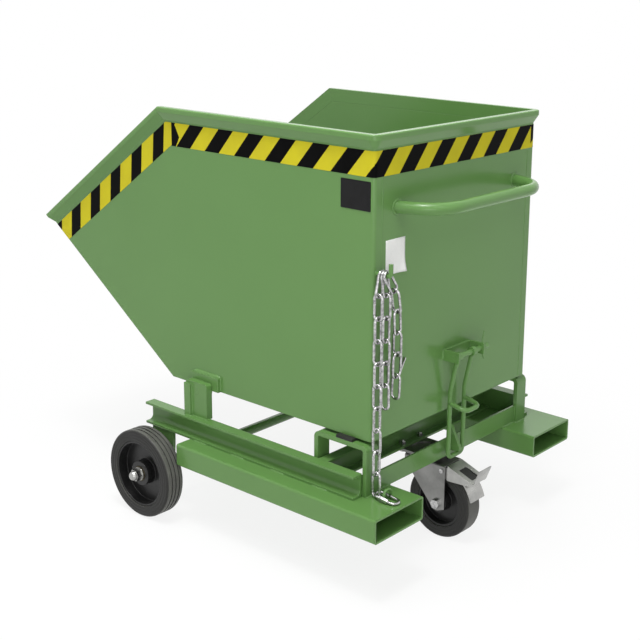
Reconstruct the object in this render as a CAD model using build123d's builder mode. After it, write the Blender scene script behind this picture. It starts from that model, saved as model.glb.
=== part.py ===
from build123d import *
import math
import os

os.makedirs("parts", exist_ok=True)

# A tipping box trolley with fork pockets. Sizes are in millimetres. X points to the rear,
# where the push handle is, Y to the right of the person who pushes, and Z up.
# The origin lies on the floor, under the middle of the trolley.
# A "setback" is a distance forward of the outer face of the tub's rear wall.

# Clearances
RUN_CLEARANCE = 0.05
SIDE_CLEARANCE = 0.5
LINK_CLEARANCE = 0.7

# Tub, over its outer faces
TUB_WIDTH = 546.0
TUB_LENGTH = 993.0
TUB_FLOOR_LENGTH = 582.0
TUB_TOP_LENGTH = 591.5
TUB_BASE = 300.0
TUB_WALL_HEIGHT = 575.5
NOSE_HEIGHT = 292.0
SHEET = 3.0
CORNER_RADIUS = 8.0
REAR_RETURN = 25.0

# Folded rim along the tub's edges
RIM_OUT = 11.0
RIM_HEIGHT = 32.0
RIM_FOOT = 4.0
RIM_EDGE = 11.0
RIM_SHEET = 2.0
RIM_BEND = 3.5

# Hazard tape
TAPE_WIDTH = 50.0
TAPE_THICKNESS = 0.4
TAPE_JOINT = 25.0
MOUTH_TAPE_GAP = 3.5

# Push handle
HANDLE_DIAMETER = 25.0
HANDLE_WALL = 2.5
HANDLE_REACH = 87.0
HANDLE_SPREAD = 405.0
HANDLE_GRIP_SPREAD = 342.0
HANDLE_BEND = 80.0
HANDLE_HEIGHT = 761.0

# Fork pockets
POCKET_WIDTH = 150.0
POCKET_HEIGHT = 50.0
POCKET_WALL = 4.0
POCKET_RADIUS = 5.0
POCKET_BASE = 137.0
POCKET_CENTRES = 554.0
POCKET_FRONT_SETBACK = 486.0
POCKET_OVERHANG = 78.0

# Channel rails on the pockets, with the web inboard
RAIL_HEIGHT = 50.0
RAIL_FLANGE = 25.0
RAIL_THICKNESS = 5.0
RAIL_ROOT = 11.0
RAIL_FRONT_SETBACK = 634.0
RAIL_TUB_GAP = 14.0

# Rest brackets under the tub's rear end, bent from flat bar
BRACKET_BAR = 10.0
BRACKET_WIDTH = 35.0
BRACKET_INSET = 23.0
BRACKET_BEND = 14.0
BRACKET_REAR_SETBACK = 1.0
BRACKET_LENGTH = 139.0
PAD_THICKNESS = 6.0
PAD_LENGTH = 42.0
PAD_SETBACK = 60.0

# Cross members at the rear
CHANNEL_HEIGHT = 50.0
CHANNEL_FLANGE = 25.0
CHANNEL_THICKNESS = 5.0
CHANNEL_SETBACK = 125.0
ANGLE_LEG = 40.0
ANGLE_THICKNESS = 5.0
ANGLE_SETBACK = 6.5

# Tipping pivot
PIVOT_SETBACK = 482.0
PIVOT_DROP = 3.0
PIVOT_PIN_DIAMETER = 20.0
EAR_RADIUS = 28.0
EAR_THICKNESS = 8.0
EAR_FRONT = 30.0
EAR_REAR = 55.0
EAR_HEIGHT = 32.0
POST_PLATE = 16.0
POST_WIDTH = 66.0
POST_FRONT = 30.0
POST_HEIGHT = 80.0
POST_CORNER = 6.0
POST_STRIP = 6.0
POST_STRIP_WIDTH = 19.5

# Front axle and wheels
AXLE_DIAMETER = 24.0
AXLE_SETBACK = 580.0
JOURNAL_DIAMETER = 20.0
THREAD_DIAMETER = 16.0
AXLE_BRACKET_INNER = 302.0
AXLE_BRACKET_PLATE = 8.0
AXLE_BRACKET_WIDTH = 68.0
AXLE_BRACKET_NECK = 20.0
AXLE_BRACKET_RADIUS = 30.0
WHEEL_DIAMETER = 200.0
WHEEL_WIDTH = 46.0
WHEEL_INNER = 338.0
TYRE_SEAT_DIAMETER = 150.0
TYRE_SHOULDER = 6.5
TREAD_GROOVE = 3.0
TREAD_GROOVE_DEPTH = 2.0
TREAD_GROOVE_PITCH = 10.0
HUB_DIAMETER = 56.0
HUB_OVERHANG = 4.0
HUB_SETBACK = 5.0
RIM_BARREL = 5.0
RIM_INSET = 2.0
RIM_WEB = 8.0
RIM_DISH = 7.0
RIM_FILLET = 1.5
BUSH_DIAMETER = 34.0
WASHER_DIAMETER = 30.0
WASHER_THICKNESS = 3.0
NUT_FLATS = 24.0
NUT_HEIGHT = 13.0
NUT_DOME_RADIUS = 11.0

# Castor
SWIVEL_SETBACK = 71.0
CASTOR_TRAIL = 54.0
CASTOR_DIAMETER = 160.0
CASTOR_WIDTH = 45.0
CASTOR_SEAT_DIAMETER = 112.0
CASTOR_SHOULDER = 6.0
CASTOR_HUB_DIAMETER = 44.0
CASTOR_BUSH_DIAMETER = 22.0
CASTOR_RIM_BARREL = 6.0
CASTOR_RIM_WEB = 7.0
PLATE_LENGTH = 105.0
PLATE_WIDTH = 85.0
PLATE_THICKNESS = 6.0
PLATE_CORNER = 8.0
PLATE_DISH_DIAMETER = 58.0
PLATE_DISH_DEPTH = 2.5
BOLT_SPACING_X = 80.0
BOLT_SPACING_Y = 60.0
BOLT_DIAMETER = 8.0
BOLT_FLATS = 13.0
BOLT_HEAD = 5.3
BOLT_NUT = 6.5
BOLT_TAIL = 3.0
KING_PIN_DIAMETER = 16.0
KING_HEAD_DIAMETER = 26.0
KING_HEAD = 5.0
RACE_DIAMETER = 72.0
RACE_HEIGHT = 8.5
FORK_SHEET = 3.5
FORK_TOP_SHEET = 4.0
FORK_SIDE_GAP = 4.0
FORK_FRONT = 34.0
FORK_REAR = 75.0
FORK_FOOT_RADIUS = 16.0
FORK_SHOULDER = 15.0
FORK_HEEL = 9.0
FORK_BEND = 4.0
CASTOR_AXLE_DIAMETER = 12.0
CASTOR_AXLE_FLATS = 19.0
CASTOR_AXLE_HEAD = 7.5

# Castor brake: a hood that turns on two rivets, with a foot lip and a shoe
BRAKE_PIVOT_REAR = 12.0
BRAKE_PIVOT_DROP = 9.4
BRAKE_RIVET_DIAMETER = 6.0
BRAKE_RIVET_HEAD = 10.0
BRAKE_RIVET_HEAD_THICKNESS = 2.0
BRAKE_EYE_RADIUS = 8.5
HOOD_SHEET = 2.0
HOOD_LENGTH = 69.0
HOOD_TILT = 20.0
HOOD_START_GAP = 4.0
HOOD_SIDE_DEPTH = 34.0
HOOD_END_DEPTH = 7.0
HOOD_END_CUT = 4.0
WINDOW_LENGTH = 38.0
WINDOW_WIDTH = 28.0
WINDOW_START = 22.0
WINDOW_CORNER = 3.0
LIP_WIDTH = 44.0
LIP_LENGTH = 34.0
LIP_TILT = 68.0
LIP_SHEET = 2.5
SHOE_GAP = 8.0
SHOE_SHEET = 4.0
SHOE_START = 16.0
SHOE_END = 62.0

# Latch: a bent rod that hangs on the tub and holds it down by a hook on the frame
LATCH_HEIGHT = 424.0
LATCH_PIN_DIAMETER = 12.0
LATCH_PIN_REACH = 31.0
LATCH_PIN_END = 77.0
LATCH_EAR_LEFT = -38.0
LATCH_EAR_RIGHT = 46.0
LATCH_EAR_REACH = 41.0
LATCH_STRAP = 5.0
LATCH_STRAP_HEIGHT = 24.0
BAIL_ROD = 10.0
BAIL_LEFT = -32.0
BAIL_RIGHT = 19.0
BAIL_SLEEVE_DIAMETER = 20.0
BAIL_SLEEVE_LENGTH = 11.0
BAIL_KNEE_REACH = 14.0
BAIL_KNEE_DROP = 79.0
BAIL_FOOT_REACH = 12.0
BAIL_KNEE_BEND = 45.0
BAIL_FOOT_BEND = 12.0
PEDAL_HEIGHT = 318.0
PEDAL_REACH = 54.0
PEDAL_DROP = 9.0
PEDAL_BEND = 15.0
HOOK_THICKNESS = 8.0
HOOK_NOSE_REACH = 27.5
HOOK_NOSE_LIFT = 3.0
HOOK_NOSE_HEIGHT = 8.0
HOOK_SEAT = 12.5
HOOK_BASE = 13.0
HOOK_HEIGHT = 56.0
HOOK_TOP_WIDTH = 4.0
COTTER_DIAMETER = 3.2
COTTER_TOP = 36.0
COTTER_TAIL = 26.0
COTTER_LEAN = 7.0

# Chain, its hook on the rear wall, and the ring that holds its lower end.
# An "inset" is a distance inboard of the tub's left side
CHAIN_WIRE = 5.5
CHAIN_PITCH = 46.0
CHAIN_WIDTH = 24.0
CHAIN_LINKS = 10
CHAIN_RUN_LINKS = 2
CHAIN_TWIST = 90.0
CHAIN_REACH = 13.5
CHAIN_TOP_REACH = 12.6
CHAIN_INSET = 1.0
MIDDLE_LINKS = 6
MIDDLE_REACH = 18.9
MIDDLE_INSET = 17.5
RIGHT_LINKS = 6
RIGHT_REACH = 25.0
RIGHT_KNEE_INSET = 34.5
RIGHT_FOOT_INSET = 57.0
CHAIN_EASE = 0.5
SNAP_LINKS = 4
SNAP_WIRE = 6.0
SNAP_WIDTH = 30.0
GATE_LENGTH = 26.0
GATE_WIDTH = 6.0
GATE_THICKNESS = 3.0
GATE_TILT = 30.0
CHAIN_HOOK_ROD = 9.0
CHAIN_HOOK_REACH = 34.0
CHAIN_HOOK_RISE = 24.0
CHAIN_HOOK_BEND = 6.0
CHAIN_HOOK_INSET = 11.0
QUICK_WIRE = 6.0
QUICK_LENGTH = 60.0
QUICK_OVERHANG = 8.5
QUICK_INSET = 5.0
QUICK_WIDTH = 28.0
QUICK_NUT_FLATS = 9.0
QUICK_NUT_LENGTH = 22.0
EYE_ROD = 6.0
EYE_SPAN = 22.0
EYE_HEIGHT = 20.0
EYE_OVERHANG = 33.0
EYE_INSET = 13.0
EYE_BEND = 10.5


def save(piece, name):
    """Label one finished piece and write it as a file of its own."""
    piece.part.label = name
    export_step(piece.part, f"parts/{name}.step")


def mirrored(piece):
    """The same piece on the other side of the trolley."""
    with BuildPart() as other:
        mirror(piece.part, about=Plane.XZ)
    return other


def side_plane(y):
    """A plane across the trolley's side at Y, with X across, Z up and its normal to the left."""
    return Plane.XZ.offset(-y)


def axle_plane(x, y, z):
    """A plane through an axle along Y, with the radius along its X and the axle along its Y."""
    return Plane(origin=(x, y, z), x_dir=(1, 0, 0), z_dir=(0, 0, 1))


# Tub outline in the XZ plane
half_width = TUB_WIDTH / 2
mouth_angle = math.atan2(TUB_WALL_HEIGHT - NOSE_HEIGHT, TUB_LENGTH - TUB_TOP_LENGTH)
chute_angle = math.atan2(NOSE_HEIGHT, TUB_LENGTH - TUB_FLOOR_LENGTH)
nose_sine = math.sin(mouth_angle + chute_angle)
lip_run = RIM_HEIGHT / nose_sine
lip_reach = TUB_LENGTH + lip_run * math.cos(chute_angle)
handle_end = HANDLE_REACH + HANDLE_DIAMETER / 2
rear_x = (lip_reach - handle_end) / 2

rim_z = TUB_BASE + TUB_WALL_HEIGHT
rear_bottom = Vector(rear_x, TUB_BASE)
rear_top = Vector(rear_x, rim_z)
mouth_top = Vector(rear_x - TUB_TOP_LENGTH, rim_z)
nose = Vector(rear_x - TUB_LENGTH, TUB_BASE + NOSE_HEIGHT)
floor_front = Vector(rear_x - TUB_FLOOR_LENGTH, TUB_BASE)
mouth_up = Vector(math.cos(mouth_angle), math.sin(mouth_angle))
chute_up = Vector(-math.cos(chute_angle), math.sin(chute_angle))
lip = nose + chute_up * lip_run
lip_inner = lip + mouth_up * (SHEET / nose_sine)
floor_joint = floor_front + Vector(SHEET * math.tan(chute_angle / 2), SHEET)

# Side walls, each bent round the rear corner
with BuildPart() as left_side_wall:
    with BuildSketch(Plane.XY.offset(TUB_BASE)):
        with BuildLine():
            outer_bend = FilletPolyline(
                (nose.X, -half_width),
                (rear_x, -half_width),
                (rear_x, -half_width + REAR_RETURN),
                radius=CORNER_RADIUS,
            )
            inner_bend = FilletPolyline(
                (nose.X, -half_width + SHEET),
                (rear_x - SHEET, -half_width + SHEET),
                (rear_x - SHEET, -half_width + REAR_RETURN),
                radius=CORNER_RADIUS - SHEET,
            )
            Line(outer_bend @ 0, inner_bend @ 0)
            Line(outer_bend @ 1, inner_bend @ 1)
        make_face()
    extrude(amount=TUB_WALL_HEIGHT)
    with BuildSketch(Plane.XZ):
        Polygon(rear_bottom, rear_top, mouth_top, nose, floor_front)
    extrude(amount=TUB_WIDTH, mode=Mode.INTERSECT)
save(left_side_wall, "left_side_wall")
save(mirrored(left_side_wall), "right_side_wall")

# Rear wall between the returns of the side walls
with BuildPart() as rear_wall:
    with BuildSketch(Plane.YZ.offset(rear_x - SHEET)):
        with Locations((0, TUB_BASE)):
            Rectangle(TUB_WIDTH - 2 * REAR_RETURN, TUB_WALL_HEIGHT, align=(Align.CENTER, Align.MIN))
    extrude(amount=SHEET)
save(rear_wall, "rear_wall")

# Floor and chute, mitred where they meet
inner_width = TUB_WIDTH - 2 * SHEET
with BuildPart() as floor_panel:
    with BuildSketch(Plane.XZ):
        Polygon(
            floor_front,
            (rear_x - SHEET, TUB_BASE),
            (rear_x - SHEET, TUB_BASE + SHEET),
            floor_joint,
        )
    extrude(amount=inner_width / 2, both=True)
    fillet(floor_panel.edges().filter_by(Axis.Z).group_by(Axis.X)[-1], radius=CORNER_RADIUS - SHEET)
save(floor_panel, "floor_panel")

with BuildPart() as chute_panel:
    with BuildSketch(Plane.XZ):
        Polygon(floor_front, floor_joint, lip_inner, lip)
    extrude(amount=inner_width / 2, both=True)
save(chute_panel, "chute_panel")


def at(point, y):
    """A point of the XZ outline at the given Y."""
    return (point.X, y, point.Y)


def rim_section(plane):
    """The folded rim's hollow section, with the top of the wall's outer face at the plane's origin."""
    with BuildSketch(plane) as section:
        Polygon(
            (-SHEET, 0),
            (0, 0),
            (0, RIM_FOOT),
            (RIM_OUT, RIM_HEIGHT - RIM_EDGE),
            (RIM_OUT, RIM_HEIGHT),
            (-SHEET, RIM_HEIGHT),
        )
        fillet(section.vertices().group_by(Axis.X)[-1], radius=RIM_BEND)
        offset(amount=-RIM_SHEET, mode=Mode.SUBTRACT)
    return section


def bent_rod(points, bend, diameter, bore=0.0):
    """A round rod or tube along a bent line."""
    with BuildPart() as rod:
        with BuildLine():
            line = FilletPolyline(*points, radius=bend)
        with BuildSketch(Plane(origin=line @ 0, z_dir=line % 0)):
            Circle(diameter / 2)
            if bore > 0:
                Circle(bore / 2, mode=Mode.SUBTRACT)
        sweep()
    return rod


# Folded rim on the tub's edges, bent round the rear corners and mitred at the mouth
corner_x = rear_x - CORNER_RADIUS
corner_y = half_width - CORNER_RADIUS
left_edge = Plane(origin=(corner_x, -half_width, rim_z), x_dir=(0, -1, 0), z_dir=(-1, 0, 0))
mouth_edge = Plane(origin=at(mouth_top, -half_width), x_dir=(0, -1, 0), z_dir=at(-mouth_up, 0))
rear_edge = Plane(origin=at(rear_top, 0), x_dir=(1, 0, 0), z_dir=(0, -1, 0))
rear_bend = Plane(origin=at(rear_top, -corner_y), x_dir=(1, 0, 0), z_dir=(0, -1, 0))
top_corner = Plane(origin=at(mouth_top, 0), z_dir=at(Vector(-1, 0) - mouth_up, 0))
chute_face = Plane(origin=at(nose, 0), z_dir=(-math.sin(chute_angle), 0, -math.cos(chute_angle)))

with BuildPart() as rear_rim:
    extrude(rim_section(rear_edge).sketch, amount=corner_y, both=True)
    revolve(
        rim_section(rear_bend).sketch,
        axis=Axis((corner_x, -corner_y, 0), (0, 0, -1)),
        revolution_arc=90,
    )
    mirror(about=Plane.XZ)
save(rear_rim, "rear_rim")

with BuildPart() as left_rim:
    extrude(rim_section(left_edge).sketch, amount=TUB_LENGTH)
    split(bisect_by=top_corner, keep=Keep.BOTTOM)
save(left_rim, "left_rim")
save(mirrored(left_rim), "right_rim")

with BuildPart() as left_mouth_rim:
    extrude(rim_section(mouth_edge).sketch, amount=TUB_LENGTH, both=True)
    split(bisect_by=top_corner, keep=Keep.TOP)
    split(bisect_by=chute_face, keep=Keep.BOTTOM)
save(left_mouth_rim, "left_mouth_rim")
save(mirrored(left_mouth_rim), "right_mouth_rim")

# Hazard tape round the top of the walls and along the mouth
tape_x = mouth_top.X + TAPE_JOINT
with BuildPart() as hazard_tape:
    with BuildSketch(Plane.XY.offset(rim_z - TAPE_WIDTH)):
        with BuildLine():
            tape_inner = FilletPolyline(
                (tape_x, -half_width),
                (rear_x, -half_width),
                (rear_x, half_width),
                (tape_x, half_width),
                radius=CORNER_RADIUS,
            )
            tape_outer = FilletPolyline(
                (tape_x, -half_width - TAPE_THICKNESS),
                (rear_x + TAPE_THICKNESS, -half_width - TAPE_THICKNESS),
                (rear_x + TAPE_THICKNESS, half_width + TAPE_THICKNESS),
                (tape_x, half_width + TAPE_THICKNESS),
                radius=CORNER_RADIUS + TAPE_THICKNESS,
            )
            Line(tape_inner @ 0, tape_outer @ 0)
            Line(tape_inner @ 1, tape_outer @ 1)
        make_face()
    extrude(amount=TAPE_WIDTH)
save(hazard_tape, "hazard_tape")

tape_edge = nose - chute_up * (MOUTH_TAPE_GAP / nose_sine)
tape_start = mouth_top + Vector(MOUTH_TAPE_GAP / math.sin(mouth_angle), 0)
tape_nose = tape_edge - chute_up * (TAPE_WIDTH / nose_sine)
tape_top = tape_nose + mouth_up * ((tape_x - tape_nose.X) / mouth_up.X)
with BuildPart() as mouth_tapes:
    with BuildSketch(side_plane(-half_width)):
        Polygon(tape_edge, tape_start, (tape_x, rim_z), tape_top, tape_nose)
    extrude(amount=TAPE_THICKNESS)
    mirror(about=Plane.XZ)
save(mouth_tapes, "mouth_tapes")

# Push handle, a bent tube on the rear wall
grip_x = rear_x + HANDLE_REACH
grip_y = HANDLE_GRIP_SPREAD / 2
root_x = rear_x - HANDLE_DIAMETER
root_y = grip_y + (HANDLE_SPREAD / 2 - grip_y) * (grip_x - root_x) / HANDLE_REACH
handle_tube = bent_rod(
    [
        (root_x, -root_y, HANDLE_HEIGHT),
        (grip_x, -grip_y, HANDLE_HEIGHT),
        (grip_x, grip_y, HANDLE_HEIGHT),
        (root_x, root_y, HANDLE_HEIGHT),
    ],
    HANDLE_BEND,
    HANDLE_DIAMETER,
    HANDLE_DIAMETER - 2 * HANDLE_WALL,
)
with BuildPart() as push_handle:
    add(handle_tube.part)
    split(bisect_by=Plane(origin=at(rear_top, 0), z_dir=(1, 0, 0)), keep=Keep.TOP)
save(push_handle, "push_handle")

# Pivot ears on the side walls, where the tub tips
pivot_x = rear_x - PIVOT_SETBACK
pivot_z = TUB_BASE - PIVOT_DROP
with BuildPart() as left_pivot_ear:
    with BuildSketch(side_plane(-half_width)):
        with Locations((pivot_x - EAR_FRONT, TUB_BASE)):
            Rectangle(EAR_FRONT + EAR_REAR, EAR_HEIGHT, align=(Align.MIN, Align.MIN))
        with Locations((pivot_x, pivot_z)):
            Circle(EAR_RADIUS)
            Circle(PIVOT_PIN_DIAMETER / 2 + RUN_CLEARANCE, mode=Mode.SUBTRACT)
    extrude(amount=EAR_THICKNESS)
save(left_pivot_ear, "left_pivot_ear")
save(mirrored(left_pivot_ear), "right_pivot_ear")

# Pivot posts on the rails, each a thick plate with a strip along its front edge
rail_z = POCKET_BASE + POCKET_HEIGHT
post_z = rail_z + RAIL_HEIGHT
post_inner = half_width + EAR_THICKNESS + SIDE_CLEARANCE
post_outer = post_inner + POST_PLATE
post_x = pivot_x - POST_FRONT
with BuildPart() as left_pivot_post:
    with BuildSketch(side_plane(-post_inner)) as post_outline:
        with Locations((post_x, post_z)):
            Rectangle(POST_WIDTH, POST_HEIGHT, align=(Align.MIN, Align.MIN))
        fillet(post_outline.vertices().group_by(Axis.Y)[-1], radius=POST_CORNER)
        with Locations((pivot_x, pivot_z)):
            Circle(PIVOT_PIN_DIAMETER / 2, mode=Mode.SUBTRACT)
    extrude(amount=POST_PLATE)
    with BuildSketch(side_plane(-post_outer)):
        with Locations((post_x, post_z)):
            Rectangle(POST_STRIP_WIDTH, POST_HEIGHT - POST_CORNER, align=(Align.MIN, Align.MIN))
    extrude(amount=POST_STRIP)
save(left_pivot_post, "left_pivot_post")
save(mirrored(left_pivot_post), "right_pivot_post")

pin_inner = half_width + SIDE_CLEARANCE
with BuildPart() as pivot_pins:
    with BuildSketch(side_plane(-pin_inner)):
        with Locations((pivot_x, pivot_z)):
            Circle(PIVOT_PIN_DIAMETER / 2)
    extrude(amount=post_outer - pin_inner)
    mirror(about=Plane.XZ)
save(pivot_pins, "pivot_pins")

# Channel rails and fork pockets
rail_inner = half_width + RAIL_TUB_GAP
rail_rear = rear_x - BRACKET_REAR_SETBACK - BRACKET_BAR
rail_front = rear_x - RAIL_FRONT_SETBACK
with BuildPart() as left_rail:
    with BuildSketch(Plane.YZ.offset(rail_front)) as rail_section:
        with Locations((-rail_inner, rail_z)):
            Rectangle(RAIL_FLANGE, RAIL_HEIGHT, align=(Align.MAX, Align.MIN))
        with Locations((-rail_inner - RAIL_THICKNESS, rail_z + RAIL_THICKNESS)):
            Rectangle(
                RAIL_FLANGE - RAIL_THICKNESS,
                RAIL_HEIGHT - 2 * RAIL_THICKNESS,
                align=(Align.MAX, Align.MIN),
                mode=Mode.SUBTRACT,
            )
        root_line = -rail_inner - RAIL_THICKNESS
        fillet(rail_section.vertices().filter_by_position(Axis.X, root_line, root_line), radius=RAIL_ROOT)
    extrude(amount=rail_rear - rail_front)
save(left_rail, "left_rail")
save(mirrored(left_rail), "right_rail")

pocket_front = rear_x - POCKET_FRONT_SETBACK
pocket_rear = rear_x + POCKET_OVERHANG
with BuildPart() as left_fork_pocket:
    with BuildSketch(Plane.YZ.offset(pocket_front)):
        with Locations((-POCKET_CENTRES / 2, POCKET_BASE + POCKET_HEIGHT / 2)):
            RectangleRounded(POCKET_WIDTH, POCKET_HEIGHT, POCKET_RADIUS)
            RectangleRounded(
                POCKET_WIDTH - 2 * POCKET_WALL,
                POCKET_HEIGHT - 2 * POCKET_WALL,
                POCKET_RADIUS - POCKET_WALL,
                mode=Mode.SUBTRACT,
            )
    extrude(amount=pocket_rear - pocket_front)
save(left_fork_pocket, "left_fork_pocket")
save(mirrored(left_fork_pocket), "right_fork_pocket")

# Cross members at the rear, drilled for the castor's bolts
swivel_x = rear_x - SWIVEL_SETBACK
channel_x = rear_x - CHANNEL_SETBACK
with BuildPart() as rear_cross_channel:
    with BuildSketch(Plane.XZ):
        with Locations((channel_x, rail_z)):
            Rectangle(CHANNEL_FLANGE, CHANNEL_HEIGHT, align=(Align.MIN, Align.MIN))
        with Locations((channel_x + CHANNEL_THICKNESS, rail_z + CHANNEL_THICKNESS)):
            Rectangle(
                CHANNEL_FLANGE - CHANNEL_THICKNESS,
                CHANNEL_HEIGHT - 2 * CHANNEL_THICKNESS,
                align=(Align.MIN, Align.MIN),
                mode=Mode.SUBTRACT,
            )
    extrude(amount=rail_inner, both=True)
    with BuildSketch(Plane.XY.offset(rail_z)):
        with Locations((swivel_x, 0)):
            with GridLocations(BOLT_SPACING_X, BOLT_SPACING_Y, 2, 2):
                Circle(BOLT_DIAMETER / 2)
    extrude(amount=CHANNEL_THICKNESS, mode=Mode.SUBTRACT)
save(rear_cross_channel, "rear_cross_channel")

angle_x = rear_x - ANGLE_SETBACK
bracket_inner = half_width - BRACKET_INSET
with BuildPart() as rear_tie_angle:
    with BuildSketch(Plane.XZ):
        with Locations((angle_x, rail_z)):
            Rectangle(ANGLE_THICKNESS, ANGLE_LEG, align=(Align.MAX, Align.MIN))
            Rectangle(ANGLE_LEG, ANGLE_THICKNESS, align=(Align.MAX, Align.MIN))
    extrude(amount=bracket_inner, both=True)
    with BuildSketch(Plane.XY.offset(rail_z)):
        with Locations((swivel_x, 0)):
            with GridLocations(BOLT_SPACING_X, BOLT_SPACING_Y, 2, 2):
                Circle(BOLT_DIAMETER / 2)
    extrude(amount=ANGLE_THICKNESS, mode=Mode.SUBTRACT)
save(rear_tie_angle, "rear_tie_angle")

# Rest brackets and pads under the tub's rear end
pad_z = TUB_BASE - PAD_THICKNESS
bracket_rear = rear_x - BRACKET_REAR_SETBACK
bracket_front = bracket_rear - BRACKET_LENGTH
with BuildPart() as left_rest_bracket:
    with BuildSketch(side_plane(-bracket_inner)):
        with BuildLine():
            bar_outer = FilletPolyline(
                (bracket_front, rail_z),
                (bracket_front, pad_z),
                (bracket_rear, pad_z),
                (bracket_rear, rail_z),
                radius=BRACKET_BEND,
            )
            bar_inner = FilletPolyline(
                (bracket_front + BRACKET_BAR, rail_z),
                (bracket_front + BRACKET_BAR, pad_z - BRACKET_BAR),
                (bracket_rear - BRACKET_BAR, pad_z - BRACKET_BAR),
                (bracket_rear - BRACKET_BAR, rail_z),
                radius=BRACKET_BEND - BRACKET_BAR,
            )
            Line(bar_outer @ 0, bar_inner @ 0)
            Line(bar_outer @ 1, bar_inner @ 1)
        make_face()
    extrude(amount=BRACKET_WIDTH)
save(left_rest_bracket, "left_rest_bracket")
save(mirrored(left_rest_bracket), "right_rest_bracket")

with BuildPart() as rest_pads:
    with BuildSketch(Plane.XY.offset(pad_z)):
        with Locations((rear_x - PAD_SETBACK, -bracket_inner - BRACKET_WIDTH / 2)):
            Rectangle(PAD_LENGTH, BRACKET_WIDTH)
    extrude(amount=PAD_THICKNESS)
    mirror(about=Plane.XZ)
save(rest_pads, "rest_pads")

# Front axle on its brackets
axle_x = rear_x - AXLE_SETBACK
axle_z = WHEEL_DIAMETER / 2
axle_middle = Plane(origin=(axle_x, 0, axle_z), x_dir=(1, 0, 0), z_dir=(0, -1, 0))
with BuildPart() as axle_brackets:
    with BuildSketch(side_plane(-AXLE_BRACKET_INNER)):
        with Locations((axle_x, rail_z)):
            Rectangle(AXLE_BRACKET_WIDTH, AXLE_BRACKET_NECK, align=(Align.CENTER, Align.MAX))
        with Locations((axle_x, axle_z)):
            Circle(AXLE_BRACKET_RADIUS)
        make_hull()
        with Locations((axle_x, axle_z)):
            Circle(AXLE_DIAMETER / 2, mode=Mode.SUBTRACT)
    extrude(amount=AXLE_BRACKET_PLATE)
    mirror(about=Plane.XZ)
save(axle_brackets, "axle_brackets")

wheel_outer = WHEEL_INNER + WHEEL_WIDTH
hub_inner = WHEEL_INNER - HUB_OVERHANG
hub_outer = wheel_outer - HUB_SETBACK
shoulder_y = hub_inner - SIDE_CLEARANCE
journal_y = hub_outer + SIDE_CLEARANCE
nut_y = journal_y + WASHER_THICKNESS
with BuildPart() as front_axle:
    with BuildSketch(axle_middle):
        Circle(AXLE_DIAMETER / 2)
    extrude(amount=shoulder_y, both=True)
    with BuildSketch(axle_middle):
        Circle(JOURNAL_DIAMETER / 2)
    extrude(amount=journal_y, both=True)
    with BuildSketch(axle_middle):
        Circle(THREAD_DIAMETER / 2)
    extrude(amount=nut_y + NUT_HEIGHT, both=True)
save(front_axle, "front_axle")

with BuildPart() as axle_washers:
    with BuildSketch(axle_middle.offset(journal_y)):
        Circle(WASHER_DIAMETER / 2)
        Circle(THREAD_DIAMETER / 2, mode=Mode.SUBTRACT)
    extrude(amount=WASHER_THICKNESS)
    mirror(about=Plane.XZ)
save(axle_washers, "axle_washers")

with BuildPart() as axle_nuts:
    with BuildSketch(axle_middle.offset(nut_y)):
        RegularPolygon(NUT_FLATS / 2, 6, major_radius=False)
    extrude(amount=NUT_HEIGHT)
    with Locations((axle_x, -nut_y - NUT_HEIGHT, axle_z)):
        Sphere(NUT_DOME_RADIUS)
    with BuildSketch(axle_middle.offset(nut_y)):
        Circle(THREAD_DIAMETER / 2)
    extrude(amount=NUT_HEIGHT, mode=Mode.SUBTRACT)
    mirror(about=Plane.XZ)
save(axle_nuts, "axle_nuts")


def wheel_tyre(centre, diameter, width, seat, shoulder, grooves):
    """A solid rubber tyre, with tread grooves at the given distances from its middle."""
    with BuildPart() as tyre:
        with BuildSketch(axle_plane(*centre)) as section:
            with Locations((seat / 2, 0)):
                Rectangle((diameter - seat) / 2, width, align=(Align.MIN, Align.CENTER))
            fillet(section.vertices().group_by(Axis.X)[-1], radius=shoulder)
            for groove in grooves:
                with Locations((diameter / 2, groove)):
                    Rectangle(2 * TREAD_GROOVE_DEPTH, TREAD_GROOVE, mode=Mode.SUBTRACT)
        revolve(axis=Axis(centre, (0, 1, 0)))
    return tyre


def wheel_rim(centre, seat, width, barrel, hub, bush, web, dish, hub_left, hub_right):
    """A wheel rim: barrel, web set off by the dish, and hub boss with its bore."""
    with BuildPart() as rim:
        with BuildSketch(axle_plane(*centre)) as section:
            with Locations((seat / 2, 0)):
                Rectangle(barrel, width - 2 * RIM_INSET, align=(Align.MAX, Align.CENTER))
            with Locations((hub / 2, dish)):
                Rectangle((seat - hub) / 2 - barrel, web, align=(Align.MIN, Align.CENTER))
            with Locations((bush / 2, -hub_left)):
                Rectangle((hub - bush) / 2, hub_left + hub_right, align=(Align.MIN, Align.MIN))
            fillet(section.vertices(), radius=RIM_FILLET)
        revolve(axis=Axis(centre, (0, 1, 0)))
    return rim


def wheel_bush(centre, bush, bore, hub_left, hub_right):
    """A bearing bush as long as the hub."""
    with BuildPart() as sleeve:
        with BuildSketch(axle_plane(*centre)):
            with Locations((bore / 2, -hub_left)):
                Rectangle((bush - bore) / 2, hub_left + hub_right, align=(Align.MIN, Align.MIN))
        revolve(axis=Axis(centre, (0, 1, 0)))
    return sleeve


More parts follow.
